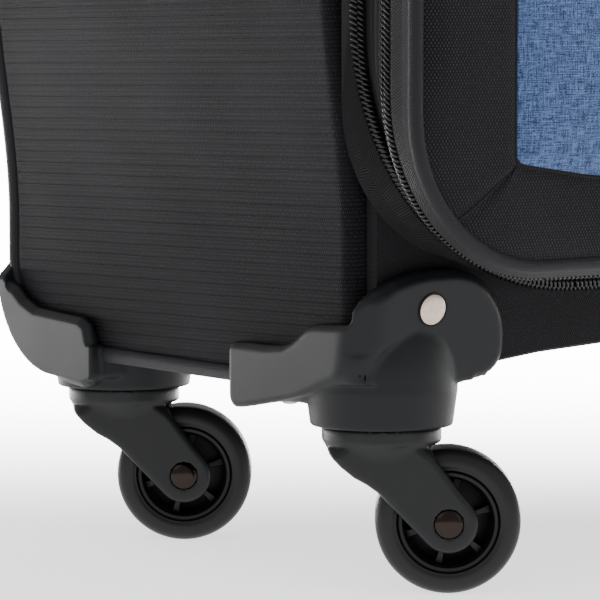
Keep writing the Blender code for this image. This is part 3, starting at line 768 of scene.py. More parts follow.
@dataclass(frozen=True)
class Metal(Finish):
    """Plated, anodised or bare metal with faint scratches."""
    metallic: float = 1.0
    tint: Colour = (0.0, 0.0, 0.0)

    def make(self, s: Shader) -> bpy.types.Material:
        """Scratches are noise drawn out along z; a broad noise tints the plating."""
        place = s.solid()
        scratch = s.noise(place, 0.25 * MM, (1.0, 1.0, 30.0))
        bloom = s.noise(place, 2.5 * MM).ramp(0.35, 0.7)
        end = self.tint if any(self.tint) else tuple(0.85 * c for c in self.colour)
        return s.finish(Base_Color=s.mix(bloom, self.colour, end), Metallic=self.metallic, Roughness=scratch
            * 0.12 + (self.roughness - 0.05), Normal=s.bump(scratch, 0.01 * MM))


@dataclass(frozen=True)
class Netting(Finish):
    """Open knitted net: threads around holes."""
    hole: float = 2.2 * MM

    def make(self, s: Shader) -> bpy.types.Material:
        """Two slanting waves leave round holes where both are low."""
        across, up, _ = s.cloth()
        net = s.wave(across + up * 0.58, self.hole).math("MAXIMUM", s.wave(across - up * 0.58, self.hole))
        return s.finish(Base_Color=self.colour, Roughness=self.roughness, Alpha=net.ramp(0.45, 0.6))


@dataclass(frozen=True)
class Ground(Finish):
    """A pale floor lit from within, more so behind the suitcase."""
    near: float = 1.5
    far: float = 14.0
    behind: tuple[float, float, float] = (0.58, 0.815, 0.0)

    def make(self, s: Shader) -> bpy.types.Material:
        """The glow rises smoothly with the distance behind the middle."""
        away = s.node("ShaderNodeVectorMath", {"operation": "DOT_PRODUCT"}, {0: s.solid(), 1: self.behind},
            "Value").ramp(0.0, 0.7)
        glow = s.mix(away, (self.near / self.far,) * 3, (1.0, 1.0, 1.0))
        return s.finish(Base_Color=self.colour, Roughness=self.roughness, Specular_IOR_Level=0.1,
            Emission_Color=glow, Emission_Strength=self.far)


class Finishes:
    """The suitcase's finishes."""
    SIDE = RibbedDobby("side dobby", (0.0009, 0.0009, 0.0012), 0.62, turn=1.5)
    FRONT = Honeycomb("front diamond weave", (0.0014, 0.0014, 0.002), 0.7)
    BASE = Honeycomb("base weave", (0.0045, 0.0045, 0.0053), 0.75, light=(0.015, 0.015, 0.018), pitch=MM)
    BLUE = Melange("blue melange", (0.05, 0.086, 0.19), 0.75)
    TAPE = Herringbone("herringbone tape", (0.0032, 0.0032, 0.0036), 0.62)
    BAND = Herringbone("satin band", (0.0035, 0.0035, 0.004), 0.5, light=(0.013, 0.013, 0.015), period=3 * MM,
        slant=3.0)
    BINDING = PlainWeave("piping cloth", (0.0085, 0.0085, 0.011), 0.6)
    LINING = PlainWeave("lining cloth", (0.03, 0.031, 0.035), 0.55)
    WEBBING = PlainWeave("webbing", (0.008, 0.008, 0.01), 0.6, pitch=1.6 * MM, relief=0.3 * MM)
    THREAD = PlainWeave("sewing thread", (0.015, 0.015, 0.017), 0.5)
    # Dark seam lines; on the lid the same finish also draws a painted shadow in the gap beside the piping and
    # painted shade in the mitre grooves.
    SEAM = PlainWeave("dark seam", (0.003, 0.003, 0.004), 0.7)
    NET = Netting("pocket net", (0.012, 0.012, 0.013), 0.7)
    COIL = Moulded("zip coil nylon", (0.003, 0.003, 0.003), 0.28, relief=0.005 * MM, shine=0.35)
    BRACKET = Moulded("bracket moulding", (0.0062, 0.0066, 0.0076), 0.46, shine=0.18)
    FORK = Moulded("fork moulding", (0.0078, 0.0082, 0.009), 0.38)
    TYRE = Moulded("tyre polyurethane", (0.0085, 0.0085, 0.0095), 0.4)
    HUB = Moulded("hub moulding", (0.004, 0.004, 0.004), 0.38)
    BOARD = Moulded("base board sheet", (0.015, 0.015, 0.016), 0.55)
    GRIP = Moulded("grip moulding", (0.011, 0.011, 0.012), 0.3)
    BUTTON = Moulded("button moulding", (0.02, 0.02, 0.022), 0.35)
    CHROME = Metal("black chrome", (0.024, 0.021, 0.018), 0.16, tint=(0.028, 0.019, 0.017))
    RIVET = Metal("nickel rivet", (0.62, 0.5, 0.42), 0.42, metallic=0.55)
    SCREW = Metal("screw steel", (0.42, 0.42, 0.41), 0.35)
    ALUMINIUM = Metal("satin aluminium", (0.62, 0.62, 0.64), 0.3)
    WIRE = Metal("frame wire", (0.45, 0.45, 0.46), 0.35)
    SLIDER = Metal("black nickel", (0.1, 0.1, 0.105), 0.24)
    FLOOR = Ground("studio floor", (0.9, 0.9, 0.9), 0.9)


# ---- sizes read from the frame

class Side(Enum):
    """Left or right of the case, seen from the front."""
    LEFT = -1
    RIGHT = 1

    @property
    def word(self) -> str:
        """The word used in the names of its pieces."""
        return self.name.lower()


class End(Enum):
    """Front or rear pair of casters."""
    FRONT = "front"
    REAR = "rear"


@dataclass(frozen=True)
class Frame:
    """Where the CAD frame puts the case, the opening, the lid and the casters."""
    front: float
    back: float
    bottom: float
    top: float
    face: float
    inner: float
    axis_y: float
    wheelbase: float
    axis_x: float

    @staticmethod
    def read(joints: Sequence[dict]) -> Frame:
        """Takes the sizes from the CAD nodes' boxes and the swivels' places.

        Args:
            joints: the record's joints.
        Returns: the frame's sizes.
        """
        low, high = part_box("right_side_panel")
        place = {joint["name"]: joint.get("pos_m") for joint in joints}
        front, rear = place["front_right_swivel"], place["rear_right_swivel"]
        return Frame(front=low.y, back=high.y, bottom=low.z, top=high.z, face=high.x, inner=low.x,
            axis_y=front[1], wheelbase=rear[1] - front[1], axis_x=front[0])


# ---- the opening's outline

@dataclass(frozen=True)
class Line:
    """One line around the opening: how far it stands forward and its round-cornered outline."""
    y: float
    half: float
    low: float
    high: float
    low_round: float
    high_round: float

    def grown(self, out: float, forward: float = 0.0) -> Line:
        """The same line moved outwards and forwards."""
        return Line(self.y - forward, self.half + out, self.low - out, self.high + out, self.low_round + out,
            self.high_round + out)

    def halfway(self, other: Line) -> Line:
        """The line half way to another."""
        return Line(*(0.5 * (a + b) for a, b in zip(vars(self).values(), vars(other).values())))


CORNER_STEPS = 18
STRAIGHT_STEPS = 10
ROUND_TRIP = np.concatenate([start + np.arange(steps) / steps for start, steps
    in enumerate([STRAIGHT_STEPS, CORNER_STEPS, STRAIGHT_STEPS, CORNER_STEPS, 2 * STRAIGHT_STEPS,
    CORNER_STEPS, STRAIGHT_STEPS, CORNER_STEPS, STRAIGHT_STEPS])] + [[9.0]])
HINGE_FROM, HINGE_TO = 8.75, 0.25       # the hinge's part of the trip, on the right side


def around(line: Line, trip: Array) -> tuple[Array, Array]:
    """A line's points and outward directions along the trip around the opening.

    The trip starts half way up the right side and runs over the top, down the left side and along the bottom.
    Whole numbers are the ends of the straight runs and of the four round corners; a straight run is a blend
    of its two ends, and a corner is its centre plus its radius times cosine and sine.

    Args:
        line: the outline.
        trip: places from 0 to 9.
    Returns: points and unit directions, both as (count, 3).
    """
    h, lo, hi, rl, rh = line.half, line.low, line.high, line.low_round, line.high_round
    middle = 0.5 * (lo + hi)
    stops = np.array([(h, middle), (h, hi - rh), (h - rh, hi), (rh - h, hi), (-h, hi - rh), (-h, lo + rl),
        (rl - h, lo), (h - rl, lo), (h, lo + rl), (h, middle)])
    centres = {1: (h - rh, hi - rh, rh), 3: (rh - h, hi - rh, rh), 5: (rl - h, lo + rl, rl), 7:
        (h - rl, lo + rl, rl)}
    facing = [0, None, 90, None, 180, None, 270, None, 360]
    section = np.minimum(trip.astype(int), 8)
    share = trip - section
    x, z, angle = np.zeros_like(trip), np.zeros_like(trip), np.zeros_like(trip)
    for k in range(9):
        here = section == k
        if k in centres:
            cx, cz, radius = centres[k]
            angle[here] = np.radians(facing[k - 1] + 90.0 * share[here])
            x[here] = cx + radius * np.cos(angle[here])
            z[here] = cz + radius * np.sin(angle[here])
        else:
            angle[here] = math.radians(facing[k])
            x[here] = stops[k, 0] + (stops[k + 1, 0] - stops[k, 0]) * share[here]
            z[here] = stops[k, 1] + (stops[k + 1, 1] - stops[k, 1]) * share[here]
    return columns(x, line.y, z), columns(np.cos(angle), 0.0, np.sin(angle))


def band(lines: Sequence[Line], trip: Array, thickness: float, wrap: bool = True) -> Patch:
    """A band of cloth around the opening through several lines, with a thickness towards the inside.

    Args:
        lines: the lines it passes through, from the case forwards.
        trip: the part of the trip that it covers.
        thickness: how thick the cloth is.
        wrap: whether it goes all the way round.
    Returns: the band, with cloth coordinates along and across it.
    """
    rings = [around(line, trip) for line in lines]
    outer = np.stack([points for points, _ in rings], axis=1)
    inner = outer - thickness * np.stack([out for _, out in rings], axis=1)
    return shell(outer, inner, lattice(lengths(outer[:, len(lines) // 2]), lengths(outer[0])), wrap=wrap)


@dataclass
class Opening:
    """The zipped opening between case and lid, all as lines around it."""
    frame: Frame
    tooth_pitch: float = 1.87 * MM

    def line(self, y: float, half: float, low: float, high: float, low_round: float, high_round:
            float) -> Line:
        """A line given in millimetres, its depth measured from the front casters' axes."""
        return Line(self.frame.axis_y + y * MM, half * MM, low * MM, high * MM, low_round * MM, high_round
            * MM)

    def __post_init__(self) -> None:
        """Sets the lines, from the case forwards."""
        self.tape_edge = self.line(-19.6, 178.3, 114.0, 519.0, 56.0, 60.0)
        self.rear_edge = self.line(-22.0, 177.1, 102.0, 520.5, 96.0, 70.0)
        self.front_edge = self.line(-25.5, 172.2, 106.6, 516.0, 88.0, 64.0)
        self.main_rear = self.line(-35.7, 173.3, 108.2, 517.0, 70.0, 60.0)
        self.main_front = self.line(-41.6, 174.2, 109.2, 518.0, 63.0, 58.0)
        self.tape_front = self.line(-50.2, 173.2, 111.8, 517.0, 56.0, 55.0)
        self.piping = self.line(-52.0, 171.85, 114.05, 516.4, 52.0, 52.0)
        self.case_front = self.line(-19.3, 160.0, 115.5, 509.0, 58.0, 58.0)


def tooth(width: float, height: float, thick: float) -> Patch:
    """One turn of a nylon coil: a round rod that rises from the tape's edge to a head past the middle.

    Args:
        width: how far it reaches across.
        height: how high its head stands.
        thick: the rod's diameter.
    Returns: the rod, across as x, up as y, along the zip as z.
    """
    share = np.array([0.0, 0.12, 0.45, 0.8, 0.95, 1.0])
    swell = np.array([0.45, 0.95, 1.0, 1.05, 0.9, 0.35])
    rise = height * np.sin(np.array([0.1, 0.35, 0.75, 1.0, 0.95, 0.8]) * math.pi / 2.0)
    angles = np.linspace(0, TAU, 6, endpoint=False) + 0.5
    rings = columns(width * share[:, None], rise[:, None] + 0.62 * thick * swell[:, None] * np.sin(angles),
        0.5 * thick * swell[:, None] * np.cos(angles))
    return loft(rings).bare()


@dataclass
class Coil:
    """A zip's two rows of nylon turns between two lines around the opening."""
    rear: Line
    front: Line
    pitch: float
    trip: Array
    wrap: bool
    height: float = 1.3 * MM

    def rows(self) -> tuple[Patch, Patch]:
        """The rear and the front row of turns, half a pitch apart, their heads past each other."""
        rear, _ = around(self.rear, self.trip)
        front, _ = around(self.front, self.trip)
        middle = 0.5 * (rear + front)
        result = []
        for k, (start, end) in enumerate(((rear, front), (front, rear))):
            _, index = along(middle, self.pitch, self.wrap)
            index = index + 0.5 * k * np.median(np.diff(index))
            index = index[index < len(middle) - 1]
            at = [sample(line, index) for line in (start, end, middle)]
            tangent = unit(sample(np.gradient(middle, axis=0), index))
            across = at[1] - at[0]
            width = float(np.linalg.norm(across, axis=1).mean())
            across = unit(across)
            up = np.cross(tangent, across)
            centre = np.array([0.0, at[2][:, 1].mean(), 0.315])
            up *= np.sign(np.einsum("ij,ij->i", up, at[2] - centre))[:, None]
            side = np.cross(across, up)
            template = tooth(0.6 * width, self.height, 0.74 * self.pitch)
            result.append(scatter(template, at[0] + 0.02 * width * across, np.stack([across, up, side],
                axis=1)))
        return result[0], result[1]


@dataclass
class ZipRing:
    """Both zips, their tapes, the expansion band with its fold, and the lid's tape."""
    opening: Opening
    cloth: float = 0.9 * MM
    fold_depth: float = 17 * MM
    hinge_width: float = 11 * MM
    hinge_bend: float = 3 * MM

    def build(self) -> None:
        """Makes the tapes and coils and puts each on the body that it is sewn to."""
        o = self.opening
        split, ends = o.rear_edge.halfway(o.front_edge), o.main_rear.halfway(o.main_front)
        for name, finish, body, nodes, lines in (("body_tape", Finishes.TAPE, "case", ["opening_rim"],
            [o.case_front, o.tape_edge, o.rear_edge, split.grown(-0.2 * MM)]),
            ("expansion_band", Finishes.BAND, "expansion_ring", ["expansion_gusset"],
            [split.grown(-0.3 * MM, 0.1 * MM), o.front_edge, o.front_edge.grown(0.1 * MM, 1.5 * MM),
            o.main_rear.grown(-0.3 * MM, -1.5 * MM), o.main_rear]), ("main_zip_rear_tape", Finishes.TAPE,
            "expansion_ring", [], [o.main_rear, ends.grown(-0.2 * MM, -0.1 * MM)]),
            ("lid_tape", Finishes.TAPE, "lid", ["lid_gusset"], [ends.grown(-0.2 * MM, 0.1 * MM), o.main_front,
            o.main_front.grown(0.5 * MM, 0.6 * MM), o.tape_front])):
            band(lines, ROUND_TRIP, self.cloth).put(name, finish, body, "zip_tape", nodes)
        self.coils()
        self.fold(split)
        self.hinge(ends)

    def coils(self) -> None:
        """The turns of both zips: the expander zip all round, the main zip all but the hinge."""
        o = self.opening
        rear, front = Coil(o.rear_edge.grown(-0.2 * MM), o.front_edge.grown(0.4 * MM), o.tooth_pitch,
            ROUND_TRIP, True).rows()
        rear.put("expander_zip_rear_coil", Finishes.COIL, "case", "zip_tape", crease=80.0)
        front.put("expander_zip_front_coil", Finishes.COIL, "expansion_ring", "zip_tape", crease=80.0)
        open_trip = ROUND_TRIP[(ROUND_TRIP >= HINGE_TO) & (ROUND_TRIP <= HINGE_FROM)]
        rear, front = Coil(o.main_rear.grown(0.2 * MM, -0.3 * MM), o.main_front.grown(0.0, -0.3 * MM),
            o.tooth_pitch, open_trip, False, MM).rows()
        rear.put("main_zip_rear_coil", Finishes.COIL, "expansion_ring", "zip_tape", crease=80.0)
        front.put("main_zip_front_coil", Finishes.COIL, "lid", "zip_tape", crease=80.0)

    def fold(self, split: Line) -> None:
        """The expansion cloth, folded inwards once behind the expander zip while that is closed."""
        inward = split.grown(-1.2 * MM)
        lines = [inward.grown(-share * self.fold_depth, forward * MM) for share, forward
            in ((0.0, -0.9), (0.5, -0.6), (1.0, -0.1), (1.0, 0.5), (0.5, 1.0), (0.0, 1.3))]
        piece = band(lines, ROUND_TRIP, 0.3 * MM).put("expansion_fold", Finishes.BASE, "", "side_fabric")
        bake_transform(piece)
        run = lengths(around(lines[0], ROUND_TRIP)[0])[-1] - math.pi * self.fold_depth
        2 * self.fold_depth

    def hinge(self, ends: Line) -> None:
        """The strip of cloth on the right side that the lid swings on."""
        trip = np.concatenate([np.linspace(HINGE_FROM, 9.0, 16), np.linspace(0, HINGE_TO, 16)[1:]])
        half = 0.5 * self.hinge_width
        offsets = np.linspace(-half, half, 15)
        lines = [ends.grown(0.9 * MM * math.cos(0.5 * math.pi * o / half) + 0.2 * MM, o) for o in offsets]
        points = np.stack([around(line, trip)[0] for line in lines], axis=1)
        run, across = lengths(points[:, 0]), lengths(points[0])
        piece = shell(points, points - 0.4 * MM * X, lattice(run, across)).put("lid_hinge_cloth",
            Finishes.WEBBING, "", "zip_tape")
        bend = 0.5 * self.hinge_bend
        ends.y + bend
        ends.y - bend
        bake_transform(piece)


# ---- the case's fabric

def ripple(u: Array, v: Array, amount: float, wave: float, seed: int) -> Array:
    """A gentle unevenness of cloth: seven slanting sine waves of random heading, added together."""
    random = np.random.default_rng(seed)
    total = np.zeros(np.broadcast(u, v).shape)
    for _ in range(7):
        heading, phase = random.uniform(0.0, math.pi), random.uniform(0.0, TAU)
        pitch = wave * random.uniform(0.6, 1.8)
        total = total + np.sin((u * math.cos(heading) + v * math.sin(heading)) * TAU / pitch + phase)
    return amount * total / 7.0


def spread(low: float, high: float, count: int, ease: float = 0.75) -> Array:
    """Numbers from low to high, closer together at both ends."""
    t = np.linspace(0, 1, count)
    eased = 0.5 - 0.5 * np.cos(math.pi * t)
    return low + (high - low) * ((1 - ease) * t + ease * eased)


def rolled(depth: Array, radius: float) -> Array:
    """How far a rolled edge falls back at a depth inside its outline: a quarter circle."""
    inside = np.clip(radius - depth, 0, radius)
    return radius - np.sqrt(radius * radius - inside * inside)


@dataclass
class CaseShell:
    """The case's padded fabric: side panels, bottom, back, top, front face and piping."""
    frame: Frame
    edge_width: float = 169.8 * MM
    rise: tuple[float, float] = (120 * MM, 215 * MM)
    fall: tuple[float, float] = (460 * MM, 525 * MM)
    roll: float = 6 * MM
    front_round: float = 8 * MM
    front_gap: float = 5.5 * MM
    hem: float = 3 * MM
    rear_round: tuple[float, float] = (32 * MM, 16 * MM)
    wall: float = 6.8 * MM
    piping: float = 2.8 * MM

    def face(self, z: Array) -> Array:
        """The side panel's face: its edge width plus the swell between the rise and the fall."""
        swell = self.frame.face - self.edge_width
        up = smooth((z - self.rise[0]) / (self.rise[1] - self.rise[0]))
        down = smooth((self.fall[1] - z) / (self.fall[1] - self.fall[0]))
        return self.edge_width + swell * np.minimum(up, down)

    def side_outline(self) -> Outline:
        """The side panel's outline in y and z."""
        f, (low, high), bottom = self.frame, self.rear_round, self.frame.bottom - self.hem
        r, front = self.front_round, f.front + self.front_gap
        return (arc((front + r, bottom + r), r, 180, 270, 8) + arc((f.back - low, bottom + low), low, 270,
            360, 16) + arc((f.back - high, f.top - high), high, 0, 90, 10) + arc((front + r, f.top - r), r,
            90, 180, 8))

    def side_panel(self, side: Side) -> None:
        """A padded panel: rows of points between the outline's front and rear, edges rolled back."""
        f = self.frame
        outline = self.side_outline()
        bottom = f.bottom - self.hem
        z = spread(bottom, f.top, 120)[:, None]
        rounds = np.array([self.front_round, self.front_round]), np.array(self.rear_round)

        def pulled(radii: Array) -> Array:
            """How far a corner pulls the outline in at each height."""
            low = np.clip(radii[0] - (z - bottom), 0, radii[0])
            high = np.clip(radii[1] - (f.top - z), 0, radii[1])
            return (radii[0] - np.sqrt(radii[0] ** 2 - low ** 2)) + (radii[1]
                - np.sqrt(radii[1] ** 2 - high ** 2))

        front, back = f.front + self.front_gap + pulled(rounds[0]), f.back - pulled(rounds[1])
        y = front + (back - front) * spread(0, 1, 72)[None, :]
        z = np.broadcast_to(z, y.shape)
        depth = -np.minimum(outline_distance(y, z, outline), 0)
        x = self.face(z) - rolled(depth, self.roll) + ripple(y, z, 0.5 * MM, 70 * MM, 3) * smooth(depth
            / 0.03)
        outer = columns(side.value * x, y, z)
        inner = columns(side.value * (f.inner + 0.3 * MM), y, z)
        cloth = columns(y - rolled(np.minimum(y - front, self.roll), self.roll), z)
        piece = shell(outer, inner, cloth).put(f"{side.word}_side_fabric", Finishes.SIDE, "case",
            "side_fabric", [f"{side.word}_side_panel"])
        self.side_piping(side, outline)

    def side_piping(self, side: Side, outline: Outline) -> None:
        """The piped cord along the panel's bottom, rear and top edges."""
        line = np.array(outline[9:-9])
        start = np.array([[self.frame.front + 14 * MM, self.frame.bottom - self.hem]])
        end = np.array([[self.frame.front + 9 * MM, self.frame.top]])
        line = np.concatenate([start, line, end])
        centre = np.array([0.5 * (self.frame.front + self.frame.back), 0.5 * (self.frame.bottom
            + self.frame.top)])
        places, _ = along(line, 4 * MM)
        tangent = unit(np.gradient(places, axis=0))
        inward = columns(-tangent[:, 1], tangent[:, 0])
        inward *= np.sign(np.einsum("ij,ij->i", inward, centre - places))[:, None]
        places = places - inward * 0.6 * MM
        x = side.value * (self.face(places[:, 1]) - 1.9 * MM)
        path = np.column_stack([x, places])
        patch = sweep(path, circle(self.piping, 14), side.value * X)
        patch.put(f"{side.word}_side_piping", Finishes.BINDING, "case", "side_fabric", crease=80.0)

    def wrap_path(self) -> tuple[Array, Array]:
        """The path around bottom, back and top, in y and z, and its inward directions."""
        f, (low, high) = self.frame, self.rear_round
        bottom = np.column_stack([spread(f.front + 6.3 * MM, f.back - low, 22), np.full(22, f.bottom)])
        corner = np.array(arc((f.back - low, f.bottom + low), low, 270, 360, 14))[1:]
        back = np.column_stack([np.full(26, f.back), spread(f.bottom + low, f.top - high, 26)])[1:]
        turn = np.array(arc((f.back - high, f.top - high), high, 0, 90, 10))[1:]
        cup_low, cup_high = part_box("trolley_cup")
        stops = [f.back - high, cup_high.y - 1.9 * MM, cup_low.y + 3.9 * MM]
        top = np.concatenate([np.linspace(stops[0], stops[1], 3)[1:], np.linspace(stops[1], stops[2], 5)[1:],
            spread(stops[2], f.front + MM, 26)[1:]])
        path = np.concatenate([bottom, corner, back, turn, np.column_stack([top, np.full(len(top), f.top)])])
        tangent = unit(np.gradient(path, axis=0))
        return path, columns(-tangent[:, 1], tangent[:, 0])

    def wrap(self) -> None:
        """Bottom, back and top panels, cut from one strip around the case, the top with the cup's hole."""
        f = self.frame
        path, inward = self.wrap_path()
        hole = 78.4 * MM
        x = np.concatenate([-spread(hole, f.inner - 0.3 * MM, 12)[::-1], spread(-hole, hole, 20)[1:-1],
            spread(hole, f.inner - 0.3 * MM, 12)])
        run = lengths(path)
        swell = np.sin(math.pi * np.clip((x + f.inner) / (2 * f.inner), 0, 1)) ** 0.6
        bottom_end, back_end = 22 + 14, 22 + 14 + 25
        for part, first, last, swell_by in (("bottom", 0, bottom_end, 0.0), ("back", bottom_end - 1, back_end,
            1.2 * MM), ("top", back_end - 1, len(path), 0.3 * MM)):
            line, normal = path[first:last], inward[first:last]
            out = swell_by * swell[None, :] * np.sin(np.linspace(0, math.pi, len(line)))[:, None] ** 0.5
            y = line[:, :1] - normal[:, :1] * out
            z = line[:, 1:] - normal[:, 1:] * out
            if part == "bottom":
                z = z + self.arch(x)[None, :] * smooth((f.front + 0.11 - y) / 0.1)
            xs = np.broadcast_to(x, y.shape)
            outer = columns(x, y, z)
            inner = columns(x, y + normal[:, :1] * self.wall, z + normal[:, 1:] * self.wall)
            cloth = columns(xs, run[first:last, None])
            keep = None
            if part == "top":
                middle_y, middle_x = 0.5 * (y[1:, 1:] + y[:-1, 1:]), np.abs(0.5 * (xs[1:, 1:] + xs[1:, :-1]))
                cup_low, cup_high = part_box("trolley_cup")
                keep = ~((middle_x < hole) & (middle_y < cup_high.y - 1.8 * MM)
                    & (middle_y > cup_low.y + 3.8 * MM) & (z[1:, 1:] > f.top - 3 * MM))
            piece = shell(outer, inner, cloth, keep=keep).put(f"{part}_fabric", Finishes.BASE, "case",
                "side_fabric", [f"{part}_panel"])

    def arch(self, x: Array) -> Array:
        """How far the front's lower edge is drawn up towards the middle."""
        return 7 * MM * np.clip((1 - (x / 0.135) ** 2) * 1.4, 0, 1)

    def front_face(self, opening: Opening) -> None:
        """The front's fabric between the case's edge and the opening: a blend of the two outlines."""
        f = self.frame
        outside = Line(f.front, f.inner - 0.2 * MM, f.bottom + 0.4 * MM, f.top - 0.4 * MM, 8 * MM, 8 * MM)
        outer_ring, _ = around(outside, ROUND_TRIP)
        inner_ring, _ = around(opening.case_front, ROUND_TRIP)
        low = smooth((0.14 - outer_ring[:, 2]) / 0.06)
        outer_ring[:, 2] += self.arch(outer_ring[:, 0]) * low
        share = np.array([0.0, 0.03, 0.08, 0.2, 0.4, 0.6, 0.8, 0.92, 1.0])
        points = between(outer_ring, inner_ring, share)
        width = np.linalg.norm(outer_ring - inner_ring, axis=1)[:, None]
        points[:, :, 1] = f.front + rolled(share[None, :] * width, 1.5 * MM)
        piece = shell(points, points + 5.5 * MM * Y, points[:, :, [0, 2]], wrap=True).put("front_fabric",
            Finishes.BASE, "case", "side_fabric", ["front_border"])

    def build(self, opening: Opening) -> None:
        """Makes every panel."""
        for side in Side:
            self.side_panel(side)
        self.wrap()
        self.front_face(opening)


# ---- the lid

@dataclass
class Lid:
    """The zipped lid: black frame with mitred corners, two blue pockets, piping and its lining."""
    frame: Frame
    opening: Opening
    pocket_half: float = 132.4 * MM
    pocket_low: tuple[float, float] = (139.5 * MM, 8.5 * MM)
    pocket_split: tuple[float, float] = (390.8 * MM, 398.2 * MM)
    pocket_high: float = 484 * MM
    seam_depth: float = 55 * MM
    crown: float = 60.4 * MM
    corner: float = 3.5 * MM

    def piping_cord(self) -> None:
        """The piped cord around the lid's edge."""
        points, _ = around(self.opening.piping, ROUND_TRIP[:-1])
        places, _ = along(points, 5 * MM, True)
        patch = sweep(places, circle(2.6 * MM, 16), Y, closed=True)
        patch.put("lid_piping", Finishes.BINDING, "lid", "front_fabric", crease=80.0)
        points, _ = around(self.opening.piping.grown(-3.2 * MM, 1.2 * MM), ROUND_TRIP[:-1])
        stitches, _ = along(points, 3.4 * MM, True)
        tangent = unit(np.roll(stitches, -1, axis=0) - stitches)
        out = np.cross(tangent, Y)
        axes = np.stack([tangent, np.broadcast_to(-Y, tangent.shape), out], axis=1)
        scatter(stitch(2.3 * MM), stitches, axes).put("lid_piping_stitches", Finishes.THREAD, "lid",
            "front_fabric", crease=80.0)

    def blue_outline(self, grow: float) -> Line:
        """The blue panels' common outline, without the lower edge's curve."""
        low = self.pocket_low[0] - grow
        return Line(self.frame.axis_y - self.seam_depth, self.pocket_half + grow, low, self.pocket_high
            + grow, self.corner + grow, self.corner + grow)

    def lower_edge(self, x: Array) -> Array:
        """How far the blue panel's lower edge rises towards its corners: a cubic curve."""
        return self.pocket_low[1] * np.minimum(np.abs(x) / 0.13, 1) ** 3

    def front(self) -> None:
        """The black frame: from the piping to the blue panels, drawn in at four mitred seams."""
        outer_ring, _ = around(self.opening.piping.grown(-0.6 * MM), ROUND_TRIP)
        inner_ring, _ = around(self.blue_outline(0.0), ROUND_TRIP)
        low = smooth((0.3 - inner_ring[:, 2]) / 0.15)
        inner_ring[:, 2] += self.lower_edge(inner_ring[:, 0]) * low
        share = np.concatenate([spread(0.0, 0.25, 8), spread(0.25, 0.85, 8)[1:], spread(0.85, 1.0, 8)[1:]])
        points = between(outer_ring, inner_ring, share)
        width = np.linalg.norm((outer_ring - inner_ring)[:, [0, 2]], axis=1)[:, None]
        depth, left = share[None, :] * width, (1 - share[None, :]) * width
        rise = 3.6 * MM * (1 - np.exp(-depth / (5 * MM))) - 1.4 * MM * np.exp(-left / (1.8 * MM))
        mitre = np.min([np.abs(ROUND_TRIP - k) for k in (1.5, 3.5, 5.5, 7.5)], axis=0)[:, None]
        crease = np.exp(-(mitre * 60 * MM / (1.5 * MM)) ** 2) * smooth(depth / 0.004) * smooth(left / 0.002)
        uneven = ripple(points[:, :, 0], points[:, :, 2], 0.5 * MM, 45 * MM, 8)
        points[:, :, 1] = self.frame.axis_y - 52.6 * MM - rise + 0.9 * MM * crease + uneven * smooth(depth
            / 0.01)
        piece = shell(points, points + 3 * MM * Y, points[:, :, [0, 2]], wrap=True).put("lid_frame_fabric",
            Finishes.FRONT, "lid", "front_fabric", ["lid_board"])
        self.mitre_seams(points)

    def mitre_seams(self, points: Array) -> None:
        """A fine dark welt in each mitred corner, the seam with painted shade of its groove; a painted shadow
        line along the frame just inside the piping; and a dark welt around the blue panels.
        """
        patches = []
        # Each mitre's dark welt is the seam's line plus painted shade of its groove.
        for k in (1.5, 3.5, 5.5, 7.5):
            row = int(np.argmin(np.abs(ROUND_TRIP - k)))
            path = points[row, 2:-1] + 0.3 * MM * Y
            patches.append(sweep(path, circle(0.75 * MM, 8), -Y))
        # Painted shadow: a dark tube along the frame's row just inside the piping stands for the shade in the
        # gap between piping and frame.
        edge, _ = along(points[:-1, 1], 4 * MM, True)
        patches.append(sweep(edge, circle(0.8 * MM, 8), -Y, closed=True))
        joined(patches).put("lid_mitre_seams", Finishes.SEAM, "lid", "front_fabric", crease=80.0)
        places, _ = along(points[:-1, -1] + 0.3 * MM * Y, 3 * MM, True)
        sweep(places, circle(0.9 * MM, 8), -Y, closed=True).put("blue_panel_seam", Finishes.SEAM, "lid",
            "front_fabric", crease=80.0)

    def pocket(self, name: str, node: str, low: float, high: float, curved: bool, seed: int) -> None:
        """One blue pocket: a crowned pad whose edge is rolled in, its lower edge curved where asked.

        Args:
            name, node: the piece's name and the CAD node that it stands for.
            low, high: its lower and upper edge.
            curved: whether the lower edge follows the lid's curve.
            seed: of its unevenness.
        """
        half, r = self.pocket_half - 0.4 * MM, self.corner
        v = spread(0, 1, 64)[:, None]
        u = spread(-1, 1, 84)[None, :]
        z = low + (high - low) * v
        x = u * (half - rolled(z - low if curved else high - z, r))
        z = np.broadcast_to(z, x.shape)
        if curved:
            z = z + self.lower_edge(x) * (1 - v) ** 2
        outer_edge = np.minimum(half - np.abs(x), np.minimum(z - z[:1], z[-1:] - z))
        swell = 1 - np.exp(-np.maximum(outer_edge, 0) / (9 * MM))
        y = (self.frame.axis_y - self.seam_depth + 0.6 * MM - (self.crown - self.seam_depth) * swell
            + ripple(x, z, 0.9 * MM, 85 * MM, seed) * swell)
        back = columns(x, self.frame.axis_y - self.seam_depth + 1.6 * MM, z)
        piece = shell(columns(x, y, z), back, columns(x, z)).put(name, Finishes.BLUE, "lid", "blue_fabric",
            [node])

